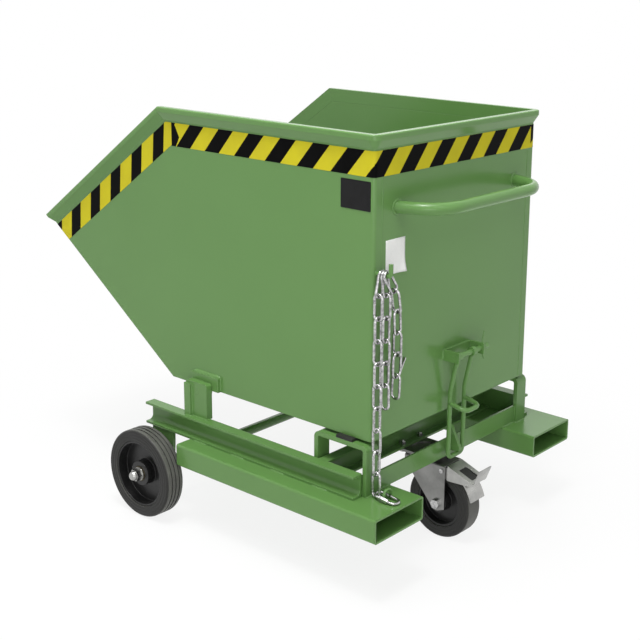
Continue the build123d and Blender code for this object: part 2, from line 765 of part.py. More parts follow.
# Front wheels
wheel_centre = (axle_x, -WHEEL_INNER - WHEEL_WIDTH / 2, axle_z)
hub_out = WHEEL_WIDTH / 2 - HUB_SETBACK
hub_in = WHEEL_WIDTH / 2 + HUB_OVERHANG
left_tyre = wheel_tyre(
    wheel_centre,
    WHEEL_DIAMETER,
    WHEEL_WIDTH,
    TYRE_SEAT_DIAMETER,
    TYRE_SHOULDER,
    (-TREAD_GROOVE_PITCH, 0, TREAD_GROOVE_PITCH),
)
save(left_tyre, "left_tyre")
save(mirrored(left_tyre), "right_tyre")
left_wheel_rim = wheel_rim(
    wheel_centre,
    TYRE_SEAT_DIAMETER,
    WHEEL_WIDTH,
    RIM_BARREL,
    HUB_DIAMETER,
    BUSH_DIAMETER,
    RIM_WEB,
    RIM_DISH,
    hub_out,
    hub_in,
)
save(left_wheel_rim, "left_wheel_rim")
save(mirrored(left_wheel_rim), "right_wheel_rim")
left_wheel_bearing = wheel_bush(
    wheel_centre,
    BUSH_DIAMETER,
    JOURNAL_DIAMETER + 2 * RUN_CLEARANCE,
    hub_out,
    hub_in,
)
save(left_wheel_bearing, "left_wheel_bearing")
save(mirrored(left_wheel_bearing), "right_wheel_bearing")

# Castor plate with its bolts and king pin
plate_z = rail_z - PLATE_THICKNESS
race_z = plate_z - SIDE_CLEARANCE
fork_z = race_z - RACE_HEIGHT
fork_under_z = fork_z - FORK_TOP_SHEET
with BuildPart() as castor_plate:
    with BuildSketch(Plane.XY.offset(plate_z)):
        with Locations((swivel_x, 0)):
            RectangleRounded(PLATE_LENGTH, PLATE_WIDTH, PLATE_CORNER)
            Circle(KING_PIN_DIAMETER / 2, mode=Mode.SUBTRACT)
            with GridLocations(BOLT_SPACING_X, BOLT_SPACING_Y, 2, 2):
                Circle(BOLT_DIAMETER / 2, mode=Mode.SUBTRACT)
    extrude(amount=PLATE_THICKNESS)
    with BuildSketch(Plane.XY.offset(rail_z - PLATE_DISH_DEPTH)):
        with Locations((swivel_x, 0)):
            Circle(PLATE_DISH_DIAMETER / 2)
            Circle(KING_PIN_DIAMETER / 2, mode=Mode.SUBTRACT)
    extrude(amount=PLATE_DISH_DEPTH, mode=Mode.SUBTRACT)
save(castor_plate, "castor_plate")

bolt_nut_z = rail_z + ANGLE_THICKNESS
with BuildPart() as castor_bolts:
    with BuildSketch(Plane.XY.offset(plate_z)):
        with Locations((swivel_x, 0)):
            with GridLocations(BOLT_SPACING_X, BOLT_SPACING_Y, 2, 2):
                RegularPolygon(BOLT_FLATS / 2, 6, major_radius=False)
    extrude(amount=-BOLT_HEAD)
    with BuildSketch(Plane.XY.offset(plate_z)):
        with Locations((swivel_x, 0)):
            with GridLocations(BOLT_SPACING_X, BOLT_SPACING_Y, 2, 2):
                Circle(BOLT_DIAMETER / 2)
    extrude(amount=bolt_nut_z + BOLT_NUT + BOLT_TAIL - plate_z)
save(castor_bolts, "castor_bolts")

with BuildPart() as castor_nuts:
    with BuildSketch(Plane.XY.offset(bolt_nut_z)):
        with Locations((swivel_x, 0)):
            with GridLocations(BOLT_SPACING_X, BOLT_SPACING_Y, 2, 2):
                RegularPolygon(BOLT_FLATS / 2, 6, major_radius=False)
                Circle(BOLT_DIAMETER / 2, mode=Mode.SUBTRACT)
    extrude(amount=BOLT_NUT)
save(castor_nuts, "castor_nuts")

king_head_z = fork_under_z - SIDE_CLEARANCE - KING_HEAD
with BuildPart() as castor_king_pin:
    with BuildSketch(Plane.XY.offset(king_head_z)):
        with Locations((swivel_x, 0)):
            Circle(KING_HEAD_DIAMETER / 2)
    extrude(amount=KING_HEAD)
    with BuildSketch(Plane.XY.offset(king_head_z)):
        with Locations((swivel_x, 0)):
            Circle(KING_PIN_DIAMETER / 2)
    extrude(amount=rail_z - king_head_z)
save(castor_king_pin, "castor_king_pin")

# Castor fork, folded from one sheet, with its bearing race on top
castor_x = swivel_x + CASTOR_TRAIL
castor_z = CASTOR_DIAMETER / 2
fork_inner = CASTOR_WIDTH / 2 + FORK_SIDE_GAP
fork_outer = fork_inner + FORK_SHEET
fork_front = swivel_x - FORK_FRONT
fork_rear = swivel_x + FORK_REAR
brake_x = castor_x + BRAKE_PIVOT_REAR
brake_z = fork_under_z - BRAKE_PIVOT_DROP
with BuildPart() as castor_fork:
    with BuildSketch(side_plane(-fork_outer)):
        with Locations((castor_x, castor_z)):
            Circle(FORK_FOOT_RADIUS)
        Polygon(
            (fork_front, fork_z - FORK_SHOULDER),
            (fork_front, fork_z),
            (fork_rear, fork_z),
            (fork_rear, castor_z - FORK_HEEL),
        )
        make_hull()
    extrude(amount=-2 * fork_outer)
    fold_edges = castor_fork.edges().filter_by(Axis.X).group_by(Axis.Z)[-1]
    fillet(fold_edges, radius=FORK_BEND)
    with BuildSketch(side_plane(-fork_inner)):
        with Locations((castor_x, 0)):
            Rectangle(4 * FORK_REAR, fork_under_z, align=(Align.CENTER, Align.MIN))
    extrude(amount=-2 * fork_inner, mode=Mode.SUBTRACT)
    with BuildSketch(Plane.XY.offset(fork_z)):
        with Locations((swivel_x, 0)):
            Circle(RACE_DIAMETER / 2)
    extrude(amount=RACE_HEIGHT)
    with BuildSketch(Plane.XY.offset(fork_under_z)):
        with Locations((swivel_x, 0)):
            Circle(KING_PIN_DIAMETER / 2 + RUN_CLEARANCE)
    extrude(amount=FORK_TOP_SHEET + RACE_HEIGHT, mode=Mode.SUBTRACT)
    with BuildSketch(Plane.XZ):
        with Locations((castor_x, castor_z)):
            Circle(CASTOR_AXLE_DIAMETER / 2)
        with Locations((brake_x, brake_z)):
            Circle(BRAKE_RIVET_DIAMETER / 2)
    extrude(amount=fork_outer, both=True, mode=Mode.SUBTRACT)
save(castor_fork, "castor_fork")

castor_middle = Plane(origin=(castor_x, 0, castor_z), x_dir=(1, 0, 0), z_dir=(0, -1, 0))
with BuildPart() as castor_axle_bolt:
    with BuildSketch(castor_middle):
        Circle(CASTOR_AXLE_DIAMETER / 2)
    extrude(amount=fork_outer + CASTOR_AXLE_HEAD, both=True)
    with BuildSketch(castor_middle.offset(fork_outer)):
        RegularPolygon(CASTOR_AXLE_FLATS / 2, 6, major_radius=False)
    extrude(amount=CASTOR_AXLE_HEAD)
    with BuildSketch(castor_middle.offset(-fork_outer)):
        RegularPolygon(CASTOR_AXLE_FLATS / 2, 6, major_radius=False)
    extrude(amount=-CASTOR_AXLE_HEAD)
save(castor_axle_bolt, "castor_axle_bolt")

# Castor wheel
castor_centre = (castor_x, 0, castor_z)
castor_hub = fork_inner - SIDE_CLEARANCE
castor_tyre = wheel_tyre(
    castor_centre, CASTOR_DIAMETER, CASTOR_WIDTH, CASTOR_SEAT_DIAMETER, CASTOR_SHOULDER, ()
)
save(castor_tyre, "castor_tyre")
castor_wheel_rim = wheel_rim(
    castor_centre,
    CASTOR_SEAT_DIAMETER,
    CASTOR_WIDTH,
    CASTOR_RIM_BARREL,
    CASTOR_HUB_DIAMETER,
    CASTOR_BUSH_DIAMETER,
    CASTOR_RIM_WEB,
    0,
    castor_hub,
    castor_hub,
)
save(castor_wheel_rim, "castor_wheel_rim")
castor_bearing = wheel_bush(
    castor_centre,
    CASTOR_BUSH_DIAMETER,
    CASTOR_AXLE_DIAMETER + 2 * RUN_CLEARANCE,
    castor_hub,
    castor_hub,
)
save(castor_bearing, "castor_bearing")

# Castor brake: a hood on two rivets, with a foot lip and a shoe round the tyre
hood_outer = fork_inner - SIDE_CLEARANCE
hood_inner = hood_outer - HOOD_SHEET
with BuildPart() as brake_rivets:
    with BuildSketch(side_plane(-hood_inner)):
        with Locations((brake_x, brake_z)):
            Circle(BRAKE_RIVET_DIAMETER / 2)
    extrude(amount=fork_outer - hood_inner)
    with BuildSketch(side_plane(-fork_outer)):
        with Locations((brake_x, brake_z)):
            Circle(BRAKE_RIVET_HEAD / 2)
    extrude(amount=BRAKE_RIVET_HEAD_THICKNESS)
    mirror(about=Plane.XZ)
save(brake_rivets, "brake_rivets")

hood_angle = math.radians(HOOD_TILT)
lip_angle = math.radians(LIP_TILT)
hood_run = Vector(math.cos(hood_angle), -math.sin(hood_angle))
hood_normal = Vector(math.sin(hood_angle), math.cos(hood_angle))
hood_start = Vector(fork_rear + HOOD_START_GAP, fork_z)
hood_end = hood_start + hood_run * HOOD_LENGTH
hood_top = Plane(origin=at(hood_start, 0), x_dir=at(hood_run, 0), z_dir=at(hood_normal, 0))
lip_run_up = Vector(math.cos(lip_angle), math.sin(lip_angle))
lip_face = Vector(math.sin(lip_angle), -math.cos(lip_angle))
lip_end = hood_end + lip_run_up * LIP_LENGTH
shoe_inner = CASTOR_DIAMETER / 2 + SHOE_GAP
with BuildPart() as brake_pedal:
    with BuildSketch(side_plane(-hood_outer)):
        Polygon(
            hood_start,
            hood_end,
            hood_end + Vector(-HOOD_END_CUT, -HOOD_END_DEPTH),
            (hood_start.X, hood_start.Y - HOOD_SIDE_DEPTH),
            (brake_x, brake_z - BRAKE_EYE_RADIUS),
            (brake_x, brake_z + BRAKE_EYE_RADIUS),
            (hood_start.X, brake_z + BRAKE_EYE_RADIUS),
        )
        with Locations((brake_x, brake_z)):
            Circle(BRAKE_EYE_RADIUS)
            Circle(BRAKE_RIVET_DIAMETER / 2 + RUN_CLEARANCE, mode=Mode.SUBTRACT)
    extrude(amount=-HOOD_SHEET)
    mirror(about=Plane.XZ)
    with BuildSketch(Plane.XZ):
        Polygon(
            hood_start,
            hood_end,
            hood_end - hood_normal * HOOD_SHEET,
            hood_start - hood_normal * HOOD_SHEET,
        )
    extrude(amount=hood_outer, both=True)
    with BuildSketch(hood_top):
        with Locations((WINDOW_START + WINDOW_LENGTH / 2, 0)):
            RectangleRounded(WINDOW_LENGTH, WINDOW_WIDTH, WINDOW_CORNER)
    extrude(amount=-HOOD_SHEET, mode=Mode.SUBTRACT)
    with BuildSketch(Plane.XZ):
        Polygon(
            hood_end - hood_normal * HOOD_SHEET - hood_run * LIP_SHEET,
            hood_end - hood_normal * HOOD_SHEET,
            hood_end + lip_face * LIP_SHEET,
            lip_end + lip_face * LIP_SHEET,
            lip_end,
            hood_end,
            hood_end - hood_run * LIP_SHEET,
        )
    extrude(amount=LIP_WIDTH / 2, both=True)
    with BuildSketch(Plane.XZ):
        with BuildLine():
            shoe_low = CenterArc((castor_x, castor_z), shoe_inner, SHOE_START, SHOE_END - SHOE_START)
            shoe_high = CenterArc(
                (castor_x, castor_z), shoe_inner + SHOE_SHEET, SHOE_START, SHOE_END - SHOE_START
            )
            Line(shoe_low @ 0, shoe_high @ 0)
            Line(shoe_low @ 1, shoe_high @ 1)
        make_face()
    extrude(amount=hood_inner, both=True)
save(brake_pedal, "brake_pedal")

# Latch bracket, pin and cotter on the rear wall
latch_x = rear_x + LATCH_PIN_REACH
ear_left = LATCH_EAR_LEFT - LATCH_STRAP
ear_right = LATCH_EAR_RIGHT + LATCH_STRAP
cotter_y = ear_right + COTTER_DIAMETER
with BuildPart() as latch_bracket:
    with BuildSketch(Plane.XY.offset(LATCH_HEIGHT - LATCH_STRAP_HEIGHT / 2)):
        with Locations((rear_x, ear_left)):
            Rectangle(LATCH_EAR_REACH, ear_right - ear_left, align=(Align.MIN, Align.MIN))
        with Locations((rear_x + LATCH_STRAP, LATCH_EAR_LEFT)):
            Rectangle(
                LATCH_EAR_REACH,
                LATCH_EAR_RIGHT - LATCH_EAR_LEFT,
                align=(Align.MIN, Align.MIN),
                mode=Mode.SUBTRACT,
            )
    extrude(amount=LATCH_STRAP_HEIGHT)
    with BuildSketch(side_plane(ear_right)):
        with Locations((latch_x, LATCH_HEIGHT)):
            Circle(LATCH_PIN_DIAMETER / 2)
    extrude(amount=ear_right - ear_left, mode=Mode.SUBTRACT)
save(latch_bracket, "latch_bracket")

with BuildPart() as latch_pin:
    with BuildSketch(side_plane(LATCH_PIN_END)):
        with Locations((latch_x, LATCH_HEIGHT)):
            Circle(LATCH_PIN_DIAMETER / 2)
    extrude(amount=LATCH_PIN_END - ear_left)
    fillet(latch_pin.edges().group_by(Axis.Y)[-1], radius=LATCH_PIN_DIAMETER / 3)
    with BuildSketch(Plane.XY.offset(LATCH_HEIGHT)):
        with Locations((latch_x, cotter_y)):
            Circle(COTTER_DIAMETER / 2)
    extrude(amount=LATCH_PIN_DIAMETER, both=True, mode=Mode.SUBTRACT)
save(latch_pin, "latch_pin")

cotter_pin = bent_rod(
    [
        (latch_x, cotter_y + COTTER_LEAN, LATCH_HEIGHT + COTTER_TOP),
        (latch_x, cotter_y, LATCH_HEIGHT + LATCH_PIN_DIAMETER),
        (latch_x, cotter_y, LATCH_HEIGHT - LATCH_PIN_DIAMETER),
        (latch_x, cotter_y + COTTER_LEAN, LATCH_HEIGHT - COTTER_TAIL),
    ],
    2 * COTTER_DIAMETER,
    COTTER_DIAMETER,
)
save(cotter_pin, "cotter_pin")

# Latch hook on the tie angle
hook_z = rail_z + HOOK_BASE
nose_z = hook_z + HOOK_NOSE_LIFT
with BuildPart() as latch_hook:
    with BuildSketch(Plane.XZ):
        Polygon(
            (angle_x, hook_z),
            (angle_x + HOOK_SEAT, hook_z),
            (angle_x + HOOK_NOSE_REACH, nose_z),
            (angle_x + HOOK_NOSE_REACH, nose_z + HOOK_NOSE_HEIGHT),
            (angle_x + HOOK_TOP_WIDTH, hook_z + HOOK_HEIGHT),
            (angle_x, hook_z + HOOK_HEIGHT),
        )
    extrude(amount=HOOK_THICKNESS / 2, both=True)
save(latch_hook, "latch_hook")

# Bail, the bent rod of the latch, and its pedal loop
knee_x = rear_x + BAIL_KNEE_REACH
knee_z = LATCH_HEIGHT - BAIL_KNEE_DROP
foot_x = rear_x + BAIL_FOOT_REACH
foot_z = hook_z - SIDE_CLEARANCE - BAIL_ROD / 2
sleeve_bore = LATCH_PIN_DIAMETER / 2 + RUN_CLEARANCE
bail_rod = bent_rod(
    [
        (latch_x, BAIL_LEFT, LATCH_HEIGHT),
        (knee_x, BAIL_LEFT, knee_z),
        (foot_x, BAIL_LEFT, foot_z),
        (foot_x, BAIL_RIGHT, foot_z),
        (knee_x, BAIL_RIGHT, knee_z),
        (latch_x, BAIL_RIGHT, LATCH_HEIGHT),
    ],
    [BAIL_KNEE_BEND, BAIL_FOOT_BEND, BAIL_FOOT_BEND, BAIL_KNEE_BEND],
    BAIL_ROD,
)
with BuildPart() as latch_bail:
    add(bail_rod.part)
    for arm_y in (BAIL_LEFT, BAIL_RIGHT):
        with BuildSketch(side_plane(arm_y)):
            with Locations((latch_x, LATCH_HEIGHT)):
                Circle(BAIL_SLEEVE_DIAMETER / 2)
        extrude(amount=BAIL_SLEEVE_LENGTH / 2, both=True)
        with BuildSketch(side_plane(arm_y)):
            with Locations((latch_x, LATCH_HEIGHT)):
                Circle(sleeve_bore)
        extrude(amount=BAIL_SLEEVE_LENGTH, both=True, mode=Mode.SUBTRACT)
save(latch_bail, "latch_bail")

pedal_root = knee_x + (foot_x - knee_x) * (knee_z - PEDAL_HEIGHT) / (knee_z - foot_z)
pedal_x = rear_x + PEDAL_REACH
pedal_z = PEDAL_HEIGHT - PEDAL_DROP
pedal_rod = bent_rod(
    [
        (pedal_root, BAIL_LEFT, PEDAL_HEIGHT),
        (pedal_x, BAIL_LEFT, pedal_z),
        (pedal_x, BAIL_RIGHT, pedal_z),
        (pedal_root, BAIL_RIGHT, PEDAL_HEIGHT),
    ],
    PEDAL_BEND,
    BAIL_ROD,
)
with BuildPart() as latch_pedal:
    add(pedal_rod.part)
    add(latch_bail.part, mode=Mode.SUBTRACT)
save(latch_pedal, "latch_pedal")


def ring(wire, inner_length, width):
    """A chain link or ring: long axis on Z, lying in the XZ plane, centred on the origin."""
    bar_x = (width - wire) / 2
    straight = (inner_length + wire) / 2 - bar_x
    with BuildPart() as link:
        with BuildSketch(Plane.XY):
            with Locations((bar_x, 0), (-bar_x, 0)):
                Circle(wire / 2)
        extrude(amount=straight, both=True)
        with BuildSketch(Plane.XY.offset(straight)):
            with Locations((bar_x, 0)):
                Circle(wire / 2)
        revolve(axis=Axis((0, 0, straight), (0, -1, 0)), revolution_arc=180)
        mirror(about=Plane.XY)
    return link


def strand(hook, places):
    """Joint points of a strand that hangs on a hook's rod, from the top down, at the X and Y places."""
    points = [hook]
    step = link_step - CHAIN_HOOK_ROD / 2
    for x, y in places:
        above = points[-1]
        drop = math.sqrt(step**2 - (x - above.X) ** 2 - (y - above.Y) ** 2)
        points.append(Vector(x, y, above.Z - drop))
        step = link_step
    rise = (points[0] - points[1]).normalized()
    points[0] = hook + rise * (CHAIN_HOOK_ROD / 2)
    return points


def strand_places(top_reach, foot_reach, knee_inset, foot_inset, links):
    """X and Y places of a strand's joints below its hook, where it swings over to hang straight."""
    places = []
    for step in range(links):
        share = step / (links - 1)
        reach = top_reach + (foot_reach - top_reach) * share
        inset = foot_inset + (knee_inset - foot_inset) * CHAIN_EASE**step
        places.append((rear_x + reach, inset - half_width))
    return places


def link_plane(points, place):
    """Where one link of a strand lies, turned about its long axis by its place in the strand."""
    above = points[place]
    below = points[place + 1]
    turn = CHAIN_TWIST * place
    along = (above - below).normalized()
    face = Vector(math.cos(math.radians(turn)), math.sin(math.radians(turn)), 0)
    return Plane(origin=(above + below) * 0.5, x_dir=face.cross(along), z_dir=along)


# Chain strands. The foot of the left strand sets the height of the hooks
link_step = CHAIN_PITCH - LINK_CLEARANCE
half_gap = LINK_CLEARANCE / 2
foot_joint_z = rail_z + LINK_CLEARANCE + CHAIN_WIRE
hook_y = CHAIN_HOOK_INSET - half_width
left_places = strand_places(CHAIN_TOP_REACH, CHAIN_REACH, CHAIN_INSET, CHAIN_INSET, CHAIN_LINKS)
hanging = strand(Vector(rear_x + CHAIN_TOP_REACH, hook_y, 0), left_places)
chain_hook_z = foot_joint_z - hanging[-1].Z
left_strand = strand(Vector(rear_x + CHAIN_TOP_REACH, hook_y, chain_hook_z), left_places)
left_planes = [link_plane(left_strand, place) for place in range(CHAIN_LINKS)]

middle_places = strand_places(MIDDLE_REACH, MIDDLE_REACH, MIDDLE_INSET, MIDDLE_INSET, MIDDLE_LINKS)
middle_strand = strand(Vector(rear_x + MIDDLE_REACH, hook_y, chain_hook_z), middle_places)
middle_planes = [link_plane(middle_strand, place) for place in range(MIDDLE_LINKS)]

right_places = strand_places(RIGHT_REACH, CHAIN_REACH, RIGHT_KNEE_INSET, RIGHT_FOOT_INSET, RIGHT_LINKS)
right_strand = strand(Vector(rear_x + RIGHT_REACH, hook_y, chain_hook_z), right_places)
right_planes = [link_plane(right_strand, place) for place in range(RIGHT_LINKS)]
snap_plane = right_planes.pop(SNAP_LINKS)

chain_link = ring(CHAIN_WIRE, CHAIN_PITCH, CHAIN_WIDTH)
fixed_count = CHAIN_LINKS - CHAIN_RUN_LINKS
with BuildPart() as chain_bundle:
    for plane in left_planes[:fixed_count] + middle_planes + right_planes:
        with Locations(plane):
            add(chain_link.part)
save(chain_bundle, "chain_bundle")

with BuildPart() as chain_run:
    for plane in left_planes[fixed_count:]:
        with Locations(plane):
            add(chain_link.part)
save(chain_run, "chain_run")

snap_ring = ring(SNAP_WIRE, CHAIN_PITCH, SNAP_WIDTH)
gate_x = -(SNAP_WIDTH - SNAP_WIRE) / 2
with BuildPart() as snap_body:
    add(snap_ring.part)
    with Locations(Location((gate_x, 0, -GATE_LENGTH / 2), (0, -GATE_TILT, 0))):
        Box(GATE_THICKNESS, GATE_WIDTH, GATE_LENGTH, align=(Align.CENTER, Align.CENTER, Align.MIN))
with BuildPart() as snap_hook:
    with Locations(snap_plane):
        add(snap_body.part)
save(snap_hook, "snap_hook")

# Chain hook on the rear wall
chain_hook = bent_rod(
    [
        (rear_x, hook_y, chain_hook_z),
        (rear_x + CHAIN_HOOK_REACH, hook_y, chain_hook_z),
        (rear_x + CHAIN_HOOK_REACH, hook_y, chain_hook_z + CHAIN_HOOK_RISE),
    ],
    CHAIN_HOOK_BEND,
    CHAIN_HOOK_ROD,
)
save(chain_hook, "chain_hook")

# Chain eye on the left fork pocket, and the quick link through it
eye_x = rear_x + EYE_OVERHANG
eye_left = EYE_INSET - half_width - EYE_SPAN / 2
eye_right = eye_left + EYE_SPAN
chain_eye = bent_rod(
    [
        (eye_x, eye_left, rail_z),
        (eye_x, eye_left, rail_z + EYE_HEIGHT),
        (eye_x, eye_right, rail_z + EYE_HEIGHT),
        (eye_x, eye_right, rail_z),
    ],
    EYE_BEND,
    EYE_ROD,
)
save(chain_eye, "chain_eye")

quick_span = QUICK_LENGTH - QUICK_WIRE
quick_front_z = foot_joint_z + half_gap + QUICK_WIRE / 2
quick_rear_z = rail_z + half_gap + QUICK_WIRE / 2
quick_tilt = math.asin((quick_front_z - quick_rear_z) / quick_span)
quick_plane = Plane(
    origin=(
        rear_x + QUICK_OVERHANG + QUICK_LENGTH / 2,
        QUICK_INSET - half_width,
        (quick_front_z + quick_rear_z) / 2,
    ),
    x_dir=(0, 1, 0),
    z_dir=(math.cos(quick_tilt), 0, -math.sin(quick_tilt)),
)
quick_ring = ring(QUICK_WIRE, QUICK_LENGTH - 2 * QUICK_WIRE, QUICK_WIDTH)
with BuildPart() as quick_nut:
    with BuildSketch(Plane.XY):
        with Locations(((QUICK_WIRE - QUICK_WIDTH) / 2, 0)):
            RegularPolygon(QUICK_NUT_FLATS / 2, 6, major_radius=False, rotation=30)
            Circle(QUICK_WIRE / 2, mode=Mode.SUBTRACT)
    extrude(amount=QUICK_NUT_LENGTH / 2, both=True)
with BuildPart() as quick_link:
    with Locations(quick_plane):
        add(quick_ring.part)
        add(quick_nut.part)
save(quick_link, "quick_link")
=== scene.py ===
import math

import bmesh
import bpy
from mathutils import Matrix, Vector


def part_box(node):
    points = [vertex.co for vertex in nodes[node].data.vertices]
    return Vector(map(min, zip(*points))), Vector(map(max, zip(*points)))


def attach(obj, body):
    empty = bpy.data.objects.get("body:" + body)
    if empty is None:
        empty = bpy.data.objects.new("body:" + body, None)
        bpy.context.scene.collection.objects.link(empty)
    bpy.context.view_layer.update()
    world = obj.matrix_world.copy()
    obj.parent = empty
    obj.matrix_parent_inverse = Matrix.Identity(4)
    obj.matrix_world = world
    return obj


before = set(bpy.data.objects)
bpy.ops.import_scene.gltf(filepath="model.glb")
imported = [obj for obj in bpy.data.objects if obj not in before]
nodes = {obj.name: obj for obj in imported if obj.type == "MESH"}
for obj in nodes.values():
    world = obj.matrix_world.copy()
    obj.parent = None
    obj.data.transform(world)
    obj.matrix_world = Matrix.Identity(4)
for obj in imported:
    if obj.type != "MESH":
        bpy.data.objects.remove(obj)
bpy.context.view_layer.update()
scene = bpy.context.scene

# Places in the row frame, in metres
REAR_X = 0.460577
SIDE_Y = 0.273
FLOOR_Z = 0.0

# Light and floor, in metres
WORLD_LEVEL = 0.34
WHITE = (1.0, 1.0, 1.0)
FLOOR_GLOW = 0.86
FLOOR_PALE = (0.90, 0.90, 0.90)
FLOOR_ROUGHNESS = 0.7
FLOOR_FADE_START = 0.6
FLOOR_FADE_END = 1.25
FLOOR_RADIUS = 14.0
FLOOR_CORNERS = 96
FLOOR_SINK = 0.0005

# Camera, as fitted to the photograph
CAMERA_PLACE = Vector((REAR_X + 1.407903, -1.968624, 1.220356))
CAMERA_AZIMUTH = math.radians(39.40505)
CAMERA_ELEVATION = math.radians(13.64653)
CAMERA_ROLL = math.radians(0.84628)
CAMERA_LENS = 67.774
CAMERA_SENSOR = 36.0
CAMERA_SHIFT = (-0.09329, -0.10645)
CAMERA_NEAR = 0.05
CAMERA_FAR = 60.0

# Weld beads, in metres
TUB_BASE = 0.300
BEAD_RADIUS = 0.0030
FINE_BEAD = 0.0020
EAR_BEAD = 0.0065
BEAD_STEP = 0.45
BEAD_SIDES = 8
BEAD_FLATNESS = 0.62
BEAD_RIPPLE = 0.13
BEAD_TURN = 2.1
BEAD_WANDER = 0.07
BEAD_WANDER_TURN = 0.37
BEAD_END = 0.35
BEAD_END_GROWTH = 0.22
BEAD_LAP = 0.0012
SEAM_SINK = 0.0004
SEAM_GAP = 0.003
HANDLE_RADIUS = 0.0125
HANDLE_SPLAY = math.radians(19.9)
POST_STRIP_WIDTH = 0.0195
POST_STRIP = 0.006
BRACKET_BAR = 0.010
STITCHES = 4
STITCH_GAP = 0.010
STITCH_PITCH = 0.118
STITCH_LENGTH = 0.040
RING_CORNERS = 28
EYE_CORNERS = 20
TIE_BEAD_OUT = (1, 0.2, 0.2)

# Type plate on the left wall and label on the rear wall, in metres
PLATE_START = 0.083
PLATE_END = 0.0085
PLATE_BOTTOM = 0.760
PLATE_TOP = 0.817
PLATE_ROUND = 0.002
PLATE_ROUND_STEPS = 4
PLATE_THICKNESS = 0.0008
PLATE_BORDER = 0.0014
PLATE_STEP = 0.0003
LABEL_LEFT = -0.237
LABEL_RIGHT = -0.178
LABEL_BOTTOM = 0.631
LABEL_TOP = 0.700
LABEL_THICKNESS = 0.0003
LABEL_LIFT = 0.020
LABEL_WAVE = 0.0001
LABEL_LIFT_START = 0.45
LABEL_WAVES_ACROSS = 7.0
LABEL_WAVES_UP = 4.0
LABEL_ROWS = 16
LABEL_COLUMNS = 14

# Window of the brake's hood and wheel centres, in metres
HOOD_START = Vector((REAR_X + 0.008, 0.0, 0.172))
HOOD_TILT = math.radians(20.0)
HOOD_SHEET = 0.002
PAD_START = 0.0212
PAD_END = 0.0608
PAD_HALF_WIDTH = 0.0148
PAD_THICKNESS = 0.0008
FRONT_WHEEL = (REAR_X - 0.580, 0.100)
CASTOR_WHEEL = (REAR_X - 0.017, 0.080)
RING_PITCH = 0.0072

# Odd ends of the band of tape, in metres
TAPE_END_POINT = 0.846
TAPE_END_SLOPE = 0.55
TAPE_END_REACH = 0.025
WEDGE_Y = 0.257
WEDGE_Z = 0.834
WEDGE_SLOPE = 0.9

# Stripes of the tapes, in metres: a black stripe starts at a level and leans over its height
SIDE_STRIPES = {"period": 0.0882, "black": 0.0430, "lean": 0.86, "level": 0.828}
LEFT_STRIPE_START = REAR_X - 0.0196
RIGHT_STRIPE_START = -REAR_X
REAR_STRIPES = {"period": 0.0927, "black": 0.0462, "start": -0.1990, "lean": 0.84, "level": 0.826}
MOUTH_STRIPES = {"period": 0.0722, "black": 0.0345, "start": REAR_X - 0.9364, "lean": 0.075, "level": 0.559}
FACING = 0.70

# Colours, linear
GREEN = (0.124, 0.262, 0.074)
GREEN_DARK = (0.115, 0.247, 0.067)
# Paler green on edges and corners: a painted highlight
GREEN_EDGE_HIGHLIGHT = (0.30, 0.45, 0.25)
TAPE_YELLOW = (0.62, 0.55, 0.026)
TAPE_YELLOW_DULL = (0.53, 0.46, 0.030)
TAPE_BLACK = (0.002, 0.002, 0.002)
TAPE_BLACK_DULL = (0.004, 0.004, 0.004)
RUBBER = (0.014, 0.014, 0.013)
RUBBER_DUSTY = (0.024, 0.024, 0.022)
TREAD = (0.110, 0.110, 0.100)
PLASTIC = (0.008, 0.008, 0.008)
PLASTIC_DULL = (0.015, 0.015, 0.015)
ZINC = (0.66, 0.66, 0.655)
# Dark grey of the zinc's patches: painted dark reflections and shade on the chain
ZINC_DARK_REFLECTION = (0.24, 0.24, 0.24)
STEEL = (0.27, 0.27, 0.262)
STEEL_DULL = (0.19, 0.19, 0.185)
PEDAL_STEEL = (0.48, 0.48, 0.46)
PEDAL_STEEL_DULL = (0.33, 0.33, 0.32)
BUSH = (0.10, 0.085, 0.05)
BUSH_DULL = (0.07, 0.06, 0.04)
PAPER = (0.87, 0.87, 0.85)
PAPER_DULL = (0.76, 0.77, 0.75)
PLATE_BLACK = (0.006, 0.006, 0.006)
PLATE_DULL = (0.012, 0.012, 0.013)

# Surfaces: ranges of noise that are used, the wear that they drive, and the strength of the painted
# highlight on paint edges
NOISE_RANGE = (0.3, 0.7)
DIRT_RANGE = (0.35, 0.75)
DUST_RANGE = (0.4, 0.75)
FIBRE_RANGE = (0.3, 0.8)
FIBRE_SHADE = 0.4
YELLOW_WEAR = 0.6
EDGE_RANGE = (0.99, 0.75)
EDGE_HIGHLIGHT = 0.16
TREAD_RANGE = (0.30, 0.62)
TREAD_WEAR = (0.75, 1.0)
TYRE_GRAIN = 260.0
PAD_GRAIN = 380.0

# Surfaces: rounding of edges in metres, and roughness in smooth and in rough places
BEVEL_SAMPLES = 4
PAINT_ROUNDING = 0.0018
MOULD_ROUNDING = 0.0012
PLATED_ROUNDING = 0.0008
PAINT_ROUGHNESS = (0.19, 0.25)
TAPE_ROUGHNESS = (0.40, 0.52)
RUBBER_ROUGHNESS = (0.44, 0.62)
PLASTIC_ROUGHNESS = (0.28, 0.40)
PAPER_ROUGHNESS = (0.55, 0.70)
PLATE_ROUGHNESS = (0.30, 0.42)


